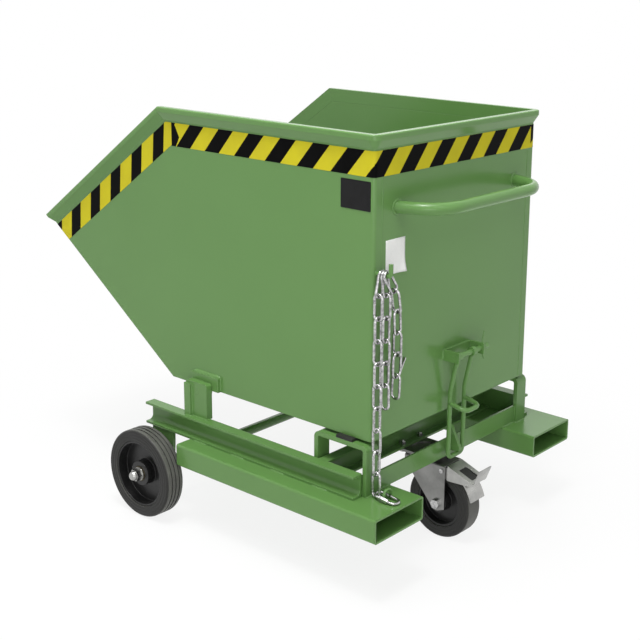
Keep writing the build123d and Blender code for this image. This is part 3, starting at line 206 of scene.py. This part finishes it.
def add_camera():
    """The photograph's viewpoint, with the framing that its crop needs."""
    back = Vector(
        (
            math.sin(CAMERA_AZIMUTH) * math.cos(CAMERA_ELEVATION),
            -math.cos(CAMERA_AZIMUTH) * math.cos(CAMERA_ELEVATION),
            math.sin(CAMERA_ELEVATION),
        )
    )
    level_right = Vector((0, 0, 1)).cross(back).normalized()
    level_up = back.cross(level_right)
    right = level_right * math.cos(CAMERA_ROLL) + level_up * math.sin(CAMERA_ROLL)
    up = level_up * math.cos(CAMERA_ROLL) - level_right * math.sin(CAMERA_ROLL)
    lens = bpy.data.cameras.new("camera")
    lens.lens = CAMERA_LENS
    lens.sensor_width = CAMERA_SENSOR
    lens.shift_x, lens.shift_y = CAMERA_SHIFT
    lens.clip_start = CAMERA_NEAR
    lens.clip_end = CAMERA_FAR
    camera = bpy.data.objects.new("camera", lens)
    scene.collection.objects.link(camera)
    turn = Matrix((right, up, back)).transposed().to_4x4()
    camera.matrix_world = Matrix.Translation(CAMERA_PLACE) @ turn
    scene.camera = camera


class Shader:
    """A material's node tree with a Principled shader, and short ways to add nodes to it."""

    def __init__(self, name):
        self.material = bpy.data.materials.new(name)
        self.material.use_nodes = True
        self.tree = self.material.node_tree
        self.surface = self.tree.nodes["Principled BSDF"]

    def node(self, kind, settings=None, **inputs):
        """Adds a node; an input is a value or another node's output socket."""
        made = self.tree.nodes.new(kind)
        for key, value in (settings or {}).items():
            setattr(made, key, value)
        for key, value in inputs.items():
            self.feed(made.inputs[self.place(made, key)], value)
        return made

    def place(self, made, key):
        """The index of an input, given as its name with underscores or as in_ and a number."""
        if key.startswith("in_"):
            return int(key.removeprefix("in_"))
        wanted = key.replace("_", " ").lower()
        for index, socket in enumerate(made.inputs):
            if socket.name.lower() == wanted and socket.enabled:
                return index
        raise KeyError(key)

    def feed(self, socket, value):
        """Links an output to a socket, or sets the socket's value."""
        if isinstance(value, bpy.types.NodeSocket):
            self.tree.links.new(value, socket)
        elif isinstance(value, tuple) and len(value) == 3 and socket.type == "RGBA":
            socket.default_value = (*value, 1.0)
        else:
            socket.default_value = value

    def set(self, **inputs):
        """Sets or links inputs of the Principled shader."""
        for key, value in inputs.items():
            self.feed(self.surface.inputs[self.place(self.surface, key)], value)

    def position(self):
        """The object's own coordinates, which are the row frame's metres on every piece."""
        return self.node("ShaderNodeTexCoord").outputs["Object"]

    def own_normal(self):
        """The surface's normal in the object's own axes, which turn with the piece."""
        return self.node("ShaderNodeTexCoord").outputs["Normal"]

    def noise(self, scale, detail, roughness=0.5):
        """A noise value between 0 and 1."""
        made = self.node(
            "ShaderNodeTexNoise",
            Vector=self.position(),
            Scale=scale,
            Detail=detail,
            Roughness=roughness,
        )
        return made.outputs["Fac"]

    def remap(self, value, low, high, to_low, to_high):
        """Maps a value from one range to another, clamped."""
        made = self.node("ShaderNodeMapRange", in_0=value, in_1=low, in_2=high, in_3=to_low, in_4=to_high)
        return made.outputs[0]

    def spread(self, noise, to_low, to_high):
        """Maps the range in which most of a noise lies to another range, clamped."""
        return self.remap(noise, *NOISE_RANGE, to_low, to_high)

    def math(self, operation, *values):
        """One math operation."""
        inputs = {f"in_{index}": value for index, value in enumerate(values)}
        return self.node("ShaderNodeMath", {"operation": operation}, **inputs).outputs[0]

    def choose(self, factor, first, second):
        """The first value where the factor is 0 and the second where it is 1."""
        change = self.math("SUBTRACT", second, first)
        return self.math("ADD", first, self.math("MULTIPLY", factor, change))

    def length(self, first, second):
        """The length of a flat vector."""
        squares = [self.math("POWER", value, 2.0) for value in (first, second)]
        return self.math("SQRT", self.math("ADD", *squares))

    def mix(self, factor, first, second):
        """Blends two colours."""
        made = self.node("ShaderNodeMix", {"data_type": "RGBA"}, in_0=factor, in_6=first, in_7=second)
        return made.outputs[2]

    def bump(self, height, strength, distance, normal=None):
        """A bump from a height value."""
        inputs = {"Height": height, "Strength": strength, "Distance": distance}
        if normal is not None:
            inputs["Normal"] = normal
        return self.node("ShaderNodeBump", **inputs).outputs["Normal"]

    def soft_normal(self, radius):
        """Normals rounded at the edges, as paint or plating rounds them."""
        return self.node("ShaderNodeBevel", {"samples": BEVEL_SAMPLES}, Radius=radius).outputs["Normal"]

    def edge_mask(self, soft):
        """1 on edges and corners, 0 on faces."""
        true = self.node("ShaderNodeNewGeometry").outputs["Normal"]
        dot = self.node("ShaderNodeVectorMath", {"operation": "DOT_PRODUCT"}, in_0=soft, in_1=true)
        return self.remap(dot.outputs["Value"], *EDGE_RANGE, 0.0, 1.0)


def paint_material():
    """Satin green paint with a faint orange peel, lighter on the edges as a painted highlight."""
    shader = Shader("green_paint")
    broad = shader.noise(scale=2.6, detail=2.0)
    body = shader.mix(shader.spread(broad, 0.0, 1.0), GREEN, GREEN_DARK)
    soft = shader.soft_normal(PAINT_ROUNDING)
    # Edges and corners are blended towards the paler green: a painted highlight
    edges = shader.math("MULTIPLY", shader.edge_mask(soft), EDGE_HIGHLIGHT)
    shader.set(base_color=shader.mix(edges, body, GREEN_EDGE_HIGHLIGHT), specular_ior_level=0.35)
    mottle = shader.noise(scale=38.0, detail=4.0)
    shader.set(roughness=shader.spread(mottle, *PAINT_ROUGHNESS))
    peel = shader.noise(scale=420.0, detail=2.0)
    waves = shader.noise(scale=9.0, detail=2.0)
    sheet = shader.bump(waves, strength=0.012, distance=0.004, normal=soft)
    shader.set(normal=shader.bump(peel, strength=0.05, distance=0.0005, normal=sheet))
    return shader.material


def stripe(shader, along, height, period, black, start, lean, level):
    """1 on black stripes: start is a stripe's first edge at the given level."""
    leaned = shader.math("MULTIPLY_ADD", height, -lean, along)
    shifted = shader.math("SUBTRACT", leaned, start - lean * level)
    phase = shader.math("FRACT", shader.math("DIVIDE", shifted, period))
    return shader.math("LESS_THAN", phase, black / period)


def tape_surface(shader, dark):
    """Finishes a tape material: print, light wear and a finely pressed film."""
    fine = shader.noise(scale=900.0, detail=2.0)
    dirt = shader.noise(scale=24.0, detail=5.0)
    yellow_wear = shader.remap(dirt, *DIRT_RANGE, 0.0, YELLOW_WEAR)
    yellow = shader.mix(yellow_wear, TAPE_YELLOW, TAPE_YELLOW_DULL)
    black_wear = shader.remap(dirt, *DIRT_RANGE, 0.0, 1.0)
    black = shader.mix(black_wear, TAPE_BLACK, TAPE_BLACK_DULL)
    shader.set(base_color=shader.mix(dark, yellow, black), specular_ior_level=0.03)
    shader.set(roughness=shader.spread(dirt, *TAPE_ROUGHNESS))
    shader.set(normal=shader.bump(fine, strength=0.06, distance=0.0003))
    return shader.material


def band_tape_material():
    """Stripes of the band round the top, which run on round the rear corners."""
    shader = Shader("band_tape")
    x, y, z = shader.node("ShaderNodeSeparateXYZ", in_0=shader.position()).outputs
    nx, ny, _ = shader.node("ShaderNodeSeparateXYZ", in_0=shader.own_normal()).outputs
    left = stripe(shader, x, z, start=LEFT_STRIPE_START, **SIDE_STRIPES)
    rear = stripe(shader, y, z, **REAR_STRIPES)
    back_x = shader.math("MULTIPLY", x, -1.0)
    right = stripe(shader, back_x, z, start=RIGHT_STRIPE_START, **SIDE_STRIPES)
    on_rear = shader.math("GREATER_THAN", nx, FACING)
    on_right = shader.math("GREATER_THAN", ny, FACING)
    sides = shader.choose(on_right, left, right)
    dark = shader.choose(on_rear, sides, rear)
    front_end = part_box("hazard_tape")[0].x
    from_point = shader.math("ABSOLUTE", shader.math("SUBTRACT", z, TAPE_END_POINT))
    reach = shader.math("MULTIPLY_ADD", from_point, -TAPE_END_SLOPE, front_end + TAPE_END_REACH)
    end_patch = shader.math("LESS_THAN", x, reach)
    wedge_edge = shader.math("MULTIPLY_ADD", shader.math("SUBTRACT", y, WEDGE_Y), WEDGE_SLOPE, WEDGE_Z)
    in_wedge = shader.math("GREATER_THAN", z, wedge_edge)
    wedge = shader.math("MULTIPLY", in_wedge, shader.math("GREATER_THAN", y, WEDGE_Y))
    patches = shader.math("MAXIMUM", end_patch, shader.math("MULTIPLY", wedge, on_rear))
    return tape_surface(shader, shader.math("MAXIMUM", dark, patches))


def mouth_tape_material():
    """Stripes of the tapes along the mouth, nearly upright."""
    shader = Shader("mouth_tape")
    x, _, z = shader.node("ShaderNodeSeparateXYZ", in_0=shader.position()).outputs
    return tape_surface(shader, stripe(shader, x, z, **MOUTH_STRIPES))


def rubber_material(name, tread, grain_scale, centre):
    """Moulded rubber: dull, faintly mottled, with a trace of dust, paler where it runs on the floor."""
    shader = Shader(name)
    mottle = shader.noise(scale=30.0, detail=5.0)
    sides = shader.mix(shader.remap(mottle, *DUST_RANGE, 0.0, 1.0), RUBBER, RUBBER_DUSTY)
    across = shader.node("ShaderNodeSeparateXYZ", in_0=shader.own_normal()).outputs[1]
    running = shader.remap(shader.math("ABSOLUTE", across), *TREAD_RANGE, 1.0, 0.0)
    worn = shader.math("MULTIPLY", running, shader.spread(mottle, *TREAD_WEAR))
    shader.set(base_color=shader.mix(worn, sides, tread), specular_ior_level=0.3)
    shader.set(roughness=shader.spread(mottle, *RUBBER_ROUGHNESS))
    x, _, z = shader.node("ShaderNodeSeparateXYZ", in_0=shader.position()).outputs
    along = shader.math("SUBTRACT", x, centre[0])
    up = shader.math("SUBTRACT", z, centre[1])
    radius = shader.length(along, up)
    ridges = shader.math("SINE", shader.math("MULTIPLY", radius, math.tau / RING_PITCH))
    on_side = shader.math("SUBTRACT", 1.0, running)
    relief = shader.math("MULTIPLY", ridges, on_side)
    soft = shader.soft_normal(MOULD_ROUNDING)
    rings = shader.bump(relief, strength=0.35, distance=0.0006, normal=soft)
    grain = shader.noise(scale=grain_scale, detail=3.0)
    shader.set(normal=shader.bump(grain, strength=0.12, distance=0.0004, normal=rings))
    return shader.material


def plastic_material():
    """Moulded black plastic of the wheel centres."""
    shader = Shader("black_plastic")
    mottle = shader.noise(scale=45.0, detail=3.0)
    shader.set(base_color=shader.mix(mottle, PLASTIC, PLASTIC_DULL), specular_ior_level=0.35)
    shader.set(roughness=shader.spread(mottle, *PLASTIC_ROUGHNESS))
    grain = shader.noise(scale=700.0, detail=2.0)
    soft = shader.soft_normal(MOULD_ROUNDING)
    shader.set(normal=shader.bump(grain, strength=0.05, distance=0.0003, normal=soft))
    return shader.material


def metal_material(name, bright, dull, smooth, rough, scale):
    """Plated steel: metallic, patchy from the bath, rounded at the edges; on the bright zinc the dark
    patches are painted dark reflections and shade.
    """
    shader = Shader(name)
    patches = shader.noise(scale=scale, detail=4.0, roughness=0.6)
    shader.set(base_color=shader.mix(shader.spread(patches, 0.0, 1.0), bright, dull), metallic=1.0)
    shader.set(roughness=shader.spread(patches, smooth, rough))
    grain = shader.noise(scale=520.0, detail=3.0)
    soft = shader.soft_normal(PLATED_ROUNDING)
    shader.set(normal=shader.bump(grain, strength=0.06, distance=0.0003, normal=soft))
    return shader.material


def paper_material():
    """Plain paper label: off-white with faint fibres and creases."""
    shader = Shader("paper_label")
    fibre = shader.noise(scale=160.0, detail=5.0)
    shade = shader.remap(fibre, *FIBRE_RANGE, 0.0, FIBRE_SHADE)
    shader.set(base_color=shader.mix(shade, PAPER, PAPER_DULL))
    shader.set(roughness=shader.spread(fibre, *PAPER_ROUGHNESS))
    creases = shader.noise(scale=28.0, detail=2.0)
    shader.set(normal=shader.bump(creases, strength=0.25, distance=0.001))
    return shader.material


def plate_material():
    """Bare black type plate, satin."""
    shader = Shader("type_plate")
    smear = shader.noise(scale=60.0, detail=4.0)
    shader.set(base_color=shader.mix(smear, PLATE_BLACK, PLATE_DULL), specular_ior_level=0.15)
    shader.set(roughness=shader.spread(smear, *PLATE_ROUGHNESS))
    grain = shader.noise(scale=800.0, detail=2.0)
    shader.set(normal=shader.bump(grain, strength=0.04, distance=0.0002))
    return shader.material


green_paint = paint_material()
band_tape = band_tape_material()
mouth_tape = mouth_tape_material()
front_tyre_rubber = rubber_material("front_tyre_rubber", TREAD, TYRE_GRAIN, FRONT_WHEEL)
castor_tyre_rubber = rubber_material("castor_tyre_rubber", TREAD, TYRE_GRAIN, CASTOR_WHEEL)
pad_rubber = rubber_material("pad_rubber", RUBBER_DUSTY, PAD_GRAIN, CASTOR_WHEEL)
black_plastic = plastic_material()
# The bright zinc's dark patches are painted dark reflections and shade
bright_zinc = metal_material("bright_zinc", ZINC, ZINC_DARK_REFLECTION, smooth=0.12, rough=0.26, scale=150.0)
castor_steel = metal_material("castor_steel", STEEL, STEEL_DULL, smooth=0.30, rough=0.42, scale=24.0)
pedal_steel = metal_material(
    "pedal_steel", PEDAL_STEEL, PEDAL_STEEL_DULL, smooth=0.24, rough=0.36, scale=30.0
)
bush_metal = metal_material("bush_metal", BUSH, BUSH_DULL, smooth=0.34, rough=0.5, scale=60.0)
paper = paper_material()
type_plate_black = plate_material()

# Materials of the CAD nodes
NODE_MATERIALS = {
    "hazard_tape": band_tape,
    "mouth_tapes": mouth_tape,
    "left_tyre": front_tyre_rubber,
    "right_tyre": front_tyre_rubber,
    "castor_tyre": castor_tyre_rubber,
    "rest_pads": pad_rubber,
    "left_wheel_rim": black_plastic,
    "right_wheel_rim": black_plastic,
    "castor_wheel_rim": black_plastic,
    "left_wheel_bearing": bush_metal,
    "right_wheel_bearing": bush_metal,
    "castor_bearing": bush_metal,
    "chain_bundle": bright_zinc,
    "chain_run": bright_zinc,
    "snap_hook": bright_zinc,
    "quick_link": bright_zinc,
    "axle_washers": pedal_steel,
    "axle_nuts": pedal_steel,
    "castor_bolts": bright_zinc,
    "castor_nuts": bright_zinc,
    "castor_axle_bolt": bright_zinc,
    "brake_rivets": bright_zinc,
    "castor_plate": castor_steel,
    "castor_king_pin": castor_steel,
    "castor_fork": castor_steel,
    "brake_pedal": pedal_steel,
}
for name, node_object in nodes.items():
    chosen = NODE_MATERIALS.get(name, green_paint)
    for slot in node_object.material_slots:
        slot.material = chosen


def add_piece(name, mesh_build, material, body, smooth=True):
    """Makes a mesh object in the row frame and lets it ride on a body."""
    mesh = bpy.data.meshes.new(name)
    mesh_build.to_mesh(mesh)
    mesh_build.free()
    for face in mesh.polygons:
        face.use_smooth = smooth
    mesh.materials.append(material)
    piece = bpy.data.objects.new(name, mesh)
    scene.collection.objects.link(piece)
    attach(piece, body)
    return piece


def evenly(corners, step, closed):
    """Places at equal steps along the straight runs between corners."""
    ends = corners[1:] + corners[:1] if closed else corners[1:]
    places = []
    for start, end in zip(corners, ends):
        count = max(1, round((end - start).length / step))
        places.extend(start.lerp(end, index / count) for index in range(count))
    if not closed:
        places.append(corners[-1])
    return places


def close_sides(build, first, second):
    """Faces between two closed lines of corners."""
    for index in range(len(first)):
        beside = (index + 1) % len(first)
        build.faces.new((first[index], first[beside], second[beside], second[index]))


def add_bead(build, corners, out, radius=BEAD_RADIUS, closed=False):
    """A rippled weld bead along a line of corners, half sunk in the faces that it joins."""
    corners = [Vector(corner) for corner in corners]
    out = Vector(out).normalized()
    places = evenly(corners, radius * BEAD_STEP, closed)
    count = len(places)
    rings = []
    for index, place in enumerate(places):
        before = places[index - 1] if closed or index > 0 else place
        after = places[(index + 1) % count] if closed or index < count - 1 else place
        side = (after - before).cross(out).normalized()
        ripple = BEAD_RIPPLE * math.sin(index * BEAD_TURN)
        wander = BEAD_WANDER * math.sin(index * BEAD_WANDER_TURN + count)
        from_end = count if closed else min(index, count - 1 - index)
        taper = min(1.0, BEAD_END + BEAD_END_GROWTH * from_end)
        size = radius * (1.0 + ripple + wander) * taper
        rings.append(
            [
                build.verts.new(
                    place
                    + side * size * math.cos(math.tau * turn / BEAD_SIDES)
                    + out * size * BEAD_FLATNESS * math.sin(math.tau * turn / BEAD_SIDES)
                )
                for turn in range(BEAD_SIDES)
            ]
        )
    for first, second in zip(rings, rings[1:]):
        close_sides(build, first, second)
    if closed:
        close_sides(build, rings[-1], rings[0])
    else:
        build.faces.new(rings[0])
        build.faces.new(reversed(rings[-1]))
    bmesh.ops.recalc_face_normals(build, faces=build.faces[:])


def ring(centre, first, second, count=RING_CORNERS):
    """Corners of an ellipse round a centre, spanned by two half axes."""
    centre, first, second = Vector(centre), Vector(first), Vector(second)
    angles = [math.tau * index / count for index in range(count)]
    return [centre + first * math.cos(angle) + second * math.sin(angle) for angle in angles]


def add_welds(name, body, beads):
    """One object of several beads, in the paint of the pieces that they join."""
    build = bmesh.new()
    for bead in beads:
        add_bead(build, **bead)
    add_piece(name, build, green_paint, body)


def both_sides(beads):
    """The beads and their mirror images on the other side of the trolley."""
    flip = Vector((1, -1, 1))
    mirrored = []
    for bead in beads:
        corners = [Vector(corner) * flip for corner in bead["corners"]]
        mirrored.append({**bead, "corners": corners, "out": Vector(bead["out"]) * flip})
    return beads + mirrored


def handle_welds():
    """A bead round each root of the push handle."""
    low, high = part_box("push_handle")
    root_y = low.y + HANDLE_RADIUS / math.cos(HANDLE_SPLAY)
    centre = (REAR_X, root_y, (low.z + high.z) / 2)
    half_y = (0, HANDLE_RADIUS / math.cos(HANDLE_SPLAY) + BEAD_LAP, 0)
    half_z = (0, 0, HANDLE_RADIUS + BEAD_LAP)
    beads = [{"corners": ring(centre, half_y, half_z), "out": (1, 0, 0), "closed": True}]
    add_welds("handle_welds", "tub", both_sides(beads))


def latch_bracket_welds():
    """Upright beads where the latch bracket's ears meet the rear wall."""
    low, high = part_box("latch_bracket")
    beads = []
    for y, lean in ((low.y, -1), (high.y, 1)):
        corners = [(REAR_X, y, low.z), (REAR_X, y, high.z)]
        beads.append({"corners": corners, "out": (1, lean, 0)})
    add_welds("latch_bracket_welds", "tub", beads)


def pivot_ear_welds():
    """Beads round the upper edges of the pivot ears."""
    low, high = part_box("left_pivot_ear")
    wall_y = -SIDE_Y
    beads = [
        {
            "corners": [(low.x, wall_y, high.z), (high.x, wall_y, high.z)],
            "out": (0, -1, 1),
            "radius": EAR_BEAD,
        },
        {"corners": [(low.x, wall_y, TUB_BASE), (low.x, wall_y, high.z)], "out": (-1, -1, 0)},
        {"corners": [(high.x, wall_y, TUB_BASE), (high.x, wall_y, high.z)], "out": (1, -1, 0)},
    ]
    add_welds("pivot_ear_welds", "tub", both_sides(beads))


def chain_hook_weld():
    """A bead round the root of the chain's hook."""
    low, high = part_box("chain_hook")
    rod = (high.y - low.y) / 2
    reach = rod + BEAD_LAP / 2
    centre = (REAR_X, (low.y + high.y) / 2, low.z + rod)
    corners = ring(centre, (0, reach, 0), (0, 0, reach))
    bead = {"corners": corners, "out": (1, 0, 0), "closed": True, "radius": FINE_BEAD}
    add_welds("chain_hook_weld", "tub", [bead])


def rear_seam_welds():
    """Low upright seams between the rear wall and the returns of the side walls."""
    seam_x = REAR_X - SEAM_SINK
    seam_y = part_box("rear_wall")[0].y
    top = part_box("hazard_tape")[0].z - SEAM_GAP
    corners = [(seam_x, seam_y, TUB_BASE + SEAM_GAP), (seam_x, seam_y, top)]
    bead = {"corners": corners, "out": (1, 0, 0), "radius": FINE_BEAD}
    add_welds("rear_seam_welds", "tub", both_sides([bead]))


def pivot_post_welds():
    """Beads along the feet of the pivot posts on the rails, and along their strips."""
    low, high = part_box("left_pivot_post")
    strip_x = low.x + POST_STRIP_WIDTH
    plate_y = low.y + POST_STRIP
    foot = [
        (low.x, low.y, low.z),
        (strip_x, low.y, low.z),
        (strip_x, plate_y, low.z),
        (high.x, plate_y, low.z),
        (high.x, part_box("left_rail")[1].y, low.z),
    ]
    seam = [(strip_x, plate_y, low.z), (strip_x, plate_y, high.z - POST_STRIP)]
    beads = [{"corners": foot, "out": (0, 0, 1)}, {"corners": seam, "out": (1, -1, 0)}]
    add_welds("pivot_post_welds", "frame", both_sides(beads))


def rest_bracket_welds():
    """Beads at the feet of the rest brackets on the fork pockets."""
    low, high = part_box("left_rest_bracket")
    corners = [(high.x, low.y, low.z), (high.x, high.y, low.z), (high.x - BRACKET_BAR, high.y, low.z)]
    add_welds("rest_bracket_welds", "frame", both_sides([{"corners": corners, "out": (0, 0, 1)}]))


def rail_welds():
    """Stitch welds of the rails on the fork pockets."""
    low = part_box("left_rail")[0]
    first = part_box("left_fork_pocket")[0].x + STITCH_GAP
    beads = []
    for index in range(STITCHES):
        start = first + index * STITCH_PITCH
        corners = [(start, low.y, low.z), (start + STITCH_LENGTH, low.y, low.z)]
        beads.append({"corners": corners, "out": (0, -1, 1)})
    add_welds("rail_welds", "frame", both_sides(beads))


def tie_angle_welds():
    """Beads where the rear tie angle stands on the pockets and meets the rest brackets."""
    low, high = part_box("rear_tie_angle")
    pocket_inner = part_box("left_fork_pocket")[1].y
    corners = [(high.x, pocket_inner, low.z), (high.x, low.y, low.z), (high.x, low.y, high.z)]
    add_welds("tie_angle_welds", "frame", both_sides([{"corners": corners, "out": TIE_BEAD_OUT}]))


def latch_hook_welds():
    """Upright beads of the latch hook on the tie angle."""
    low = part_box("latch_hook")[0]
    angle_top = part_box("rear_tie_angle")[1].z
    beads = [{"corners": [(low.x, low.y, low.z), (low.x, low.y, angle_top)], "out": (1, -1, 0)}]
    add_welds("latch_hook_welds", "frame", both_sides(beads))


def chain_eye_welds():
    """A bead round each foot of the chain's eye."""
    low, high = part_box("chain_eye")
    rod = (high.x - low.x) / 2
    reach = rod + BEAD_LAP / 2
    beads = []
    for foot_y in (low.y + rod, high.y - rod):
        corners = ring((low.x + rod, foot_y, low.z), (reach, 0, 0), (0, reach, 0), EYE_CORNERS)
        beads.append({"corners": corners, "out": (0, 0, 1), "closed": True, "radius": FINE_BEAD})
    add_welds("chain_eye_welds", "frame", beads)


def axle_bracket_welds():
    """Beads where the axle brackets meet the rails from below."""
    low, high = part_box("axle_brackets")
    corners = [(low.x, low.y, high.z), (high.x, low.y, high.z)]
    add_welds("axle_bracket_welds", "frame", both_sides([{"corners": corners, "out": (0, -1, -1)}]))


def add_type_plate():
    """A bare black plate with a raised border on the left wall."""
    build = bmesh.new()
    back_y = -SIDE_Y
    front_y = back_y - PLATE_THICKNESS
    low_x, high_x = REAR_X - PLATE_START, REAR_X - PLATE_END
    outline = []
    for corner_x, corner_z, first in (
        (high_x - PLATE_ROUND, PLATE_TOP - PLATE_ROUND, 0),
        (low_x + PLATE_ROUND, PLATE_TOP - PLATE_ROUND, 1),
        (low_x + PLATE_ROUND, PLATE_BOTTOM + PLATE_ROUND, 2),
        (high_x - PLATE_ROUND, PLATE_BOTTOM + PLATE_ROUND, 3),
    ):
        for index in range(PLATE_ROUND_STEPS + 1):
            angle = math.pi / 2 * (first + index / PLATE_ROUND_STEPS)
            spot = (corner_x + PLATE_ROUND * math.cos(angle), corner_z + PLATE_ROUND * math.sin(angle))
            outline.append(spot)
    back = [build.verts.new((x, back_y, z)) for x, z in outline]
    front = [build.verts.new((x, front_y, z)) for x, z in outline]
    close_sides(build, back, front)
    build.faces.new(back)
    face = build.faces.new(front)
    bmesh.ops.recalc_face_normals(build, faces=build.faces[:])
    bmesh.ops.inset_region(build, faces=[face], thickness=PLATE_BORDER, depth=0.0)
    bmesh.ops.inset_region(build, faces=[face], thickness=PLATE_STEP, depth=-PLATE_STEP)
    add_piece("type_plate", build, type_plate_black, "tub", smooth=False)


def add_label():
    """A plain paper label on the rear wall, with one corner that lifts a little."""
    build = bmesh.new()
    grid = []
    for layer in (0.0, LABEL_THICKNESS):
        sheet = []
        for row in range(LABEL_ROWS + 1):
            line = []
            for column in range(LABEL_COLUMNS + 1):
                across, up = column / LABEL_COLUMNS, row / LABEL_ROWS
                lift = LABEL_LIFT * max(0.0, across - up - LABEL_LIFT_START) ** 2
                waves = math.sin(across * LABEL_WAVES_ACROSS + up * LABEL_WAVES_UP)
                rise = lift + LABEL_WAVE * (1.0 + waves)
                if not layer:
                    rise -= LABEL_WAVE
                y = LABEL_LEFT + (LABEL_RIGHT - LABEL_LEFT) * across
                z = LABEL_BOTTOM + (LABEL_TOP - LABEL_BOTTOM) * up
                line.append(build.verts.new((REAR_X + layer + rise, y, z)))
            sheet.append(line)
        grid.append(sheet)
    for sheet in grid:
        for lower, upper in zip(sheet, sheet[1:]):
            for column in range(LABEL_COLUMNS):
                beside = column + 1
                build.faces.new((lower[column], lower[beside], upper[beside], upper[column]))
    border = [(0, column) for column in range(LABEL_COLUMNS)]
    border += [(row, LABEL_COLUMNS) for row in range(LABEL_ROWS)]
    border += [(LABEL_ROWS, column) for column in range(LABEL_COLUMNS, 0, -1)]
    border += [(row, 0) for row in range(LABEL_ROWS, 0, -1)]
    back, front = ([sheet[row][column] for row, column in border] for sheet in grid)
    close_sides(build, back, front)
    bmesh.ops.recalc_face_normals(build, faces=build.faces[:])
    add_piece("paper_label", build, paper, "tub")


def add_brake_pad():
    """A plain dark pad under the window of the brake's hood."""
    build = bmesh.new()
    run = Vector((math.cos(HOOD_TILT), 0, -math.sin(HOOD_TILT)))
    down = Vector((-math.sin(HOOD_TILT), 0, -math.cos(HOOD_TILT)))
    faces = []
    for depth in (HOOD_SHEET, HOOD_SHEET + PAD_THICKNESS):
        face = []
        for along, side in ((PAD_START, -1), (PAD_END, -1), (PAD_END, 1), (PAD_START, 1)):
            place = HOOD_START + run * along + down * depth + Vector((0, side * PAD_HALF_WIDTH, 0))
            face.append(build.verts.new(place))
        faces.append(face)
    for face in faces:
        build.faces.new(face)
    close_sides(build, *faces)
    bmesh.ops.recalc_face_normals(build, faces=build.faces[:])
    add_piece("brake_pad", build, black_plastic, "brake", smooth=False)


def add_light(name, place, target, size, power):
    """A soft square lamp that faces a target."""
    lamp = bpy.data.lights.new(name, "AREA")
    lamp.shape = "SQUARE"
    lamp.size = size
    lamp.energy = power
    light = bpy.data.objects.new(name, lamp)
    scene.collection.objects.link(light)
    light.location = place
    light.rotation_mode = "QUATERNION"
    light.rotation_quaternion = (Vector(target) - Vector(place)).to_track_quat("-Z", "Y")


def add_world():
    """Even studio light, white where the camera or a reflection looks past the object."""
    world = bpy.data.worlds.new("studio")
    scene.world = world
    world.use_nodes = True
    tree = world.node_tree
    background = tree.nodes["Background"]
    path = tree.nodes.new("ShaderNodeLightPath")
    looked_at = path.outputs["Is Camera Ray"]
    for kind in ("Is Transmission Ray", "Is Glossy Ray"):
        total = tree.nodes.new("ShaderNodeMath")
        total.operation = "ADD"
        total.use_clamp = True
        tree.links.new(looked_at, total.inputs[0])
        tree.links.new(path.outputs[kind], total.inputs[1])
        looked_at = total.outputs[0]
    level = tree.nodes.new("ShaderNodeMapRange")
    level.inputs["To Min"].default_value = WORLD_LEVEL
    level.inputs["To Max"].default_value = 1.0
    tree.links.new(looked_at, level.inputs["Value"])
    background.inputs["Color"].default_value = (*WHITE, 1.0)
    tree.links.new(level.outputs[0], background.inputs["Strength"])


def floor_material():
    """Pale floor that keeps the object's shadow near it and fades to white further out."""
    shader = Shader("studio_floor")
    tree = shader.tree
    x, y, _ = shader.node("ShaderNodeSeparateXYZ", in_0=shader.position()).outputs
    fade = shader.remap(shader.length(x, y), FLOOR_FADE_START, FLOOR_FADE_END, FLOOR_GLOW, 1.0)
    shader.set(base_color=FLOOR_PALE, roughness=FLOOR_ROUGHNESS)
    path = tree.nodes.new("ShaderNodeLightPath")
    direct = shader.math("ADD", path.outputs["Is Camera Ray"], path.outputs["Is Transmission Ray"])
    looked_at = shader.math("MINIMUM", shader.math("ADD", direct, path.outputs["Is Glossy Ray"]), 1.0)
    seen = shader.math("MULTIPLY", looked_at, fade)
    white = shader.node("ShaderNodeEmission", Color=WHITE, Strength=1.0)
    blend = shader.node("ShaderNodeMixShader", in_0=seen)
    tree.links.new(shader.surface.outputs[0], blend.inputs[1])
    tree.links.new(white.outputs[0], blend.inputs[2])
    output = next(made for made in tree.nodes if made.type == "OUTPUT_MATERIAL")
    tree.links.new(blend.outputs[0], output.inputs["Surface"])
    return shader.material


def add_floor():
    """A wide pale floor, which isn't part of the object."""
    build = bmesh.new()
    bmesh.ops.create_circle(build, cap_ends=True, segments=FLOOR_CORNERS, radius=FLOOR_RADIUS)
    mesh = bpy.data.meshes.new("studio_floor")
    build.to_mesh(mesh)
    build.free()
    mesh.materials.append(floor_material())
    floor = bpy.data.objects.new("studio_floor", mesh)
    floor.location.z = FLOOR_Z - FLOOR_SINK
    scene.collection.objects.link(floor)


handle_welds()
latch_bracket_welds()
pivot_ear_welds()
chain_hook_weld()
rear_seam_welds()
pivot_post_welds()
rest_bracket_welds()
rail_welds()
tie_angle_welds()
latch_hook_welds()
chain_eye_welds()
axle_bracket_welds()
add_type_plate()
add_label()
add_brake_pad()

add_camera()
add_world()
add_floor()
add_light("key_light", place=(0.7, -1.1, 3.9), target=(0.1, 0.0, 0.4), size=0.7, power=50.0)
add_light("top_light", place=(0.2, -0.9, 3.4), target=(0.1, 0.2, 0.5), size=2.4, power=70.0)
add_light("rear_light", place=(2.8, -0.9, 3.0), target=(0.2, 0.0, 0.4), size=1.2, power=9.0)
add_light("low_light", place=(2.3, -2.3, 0.8), target=(0.1, 0.0, 0.3), size=1.4, power=14.0)
add_light("far_light", place=(-1.6, 2.6, 2.8), target=(0.0, 0.0, 0.5), size=2.2, power=26.0)

scene.view_settings.view_transform = "Standard"

bpy.context.view_layer.update()
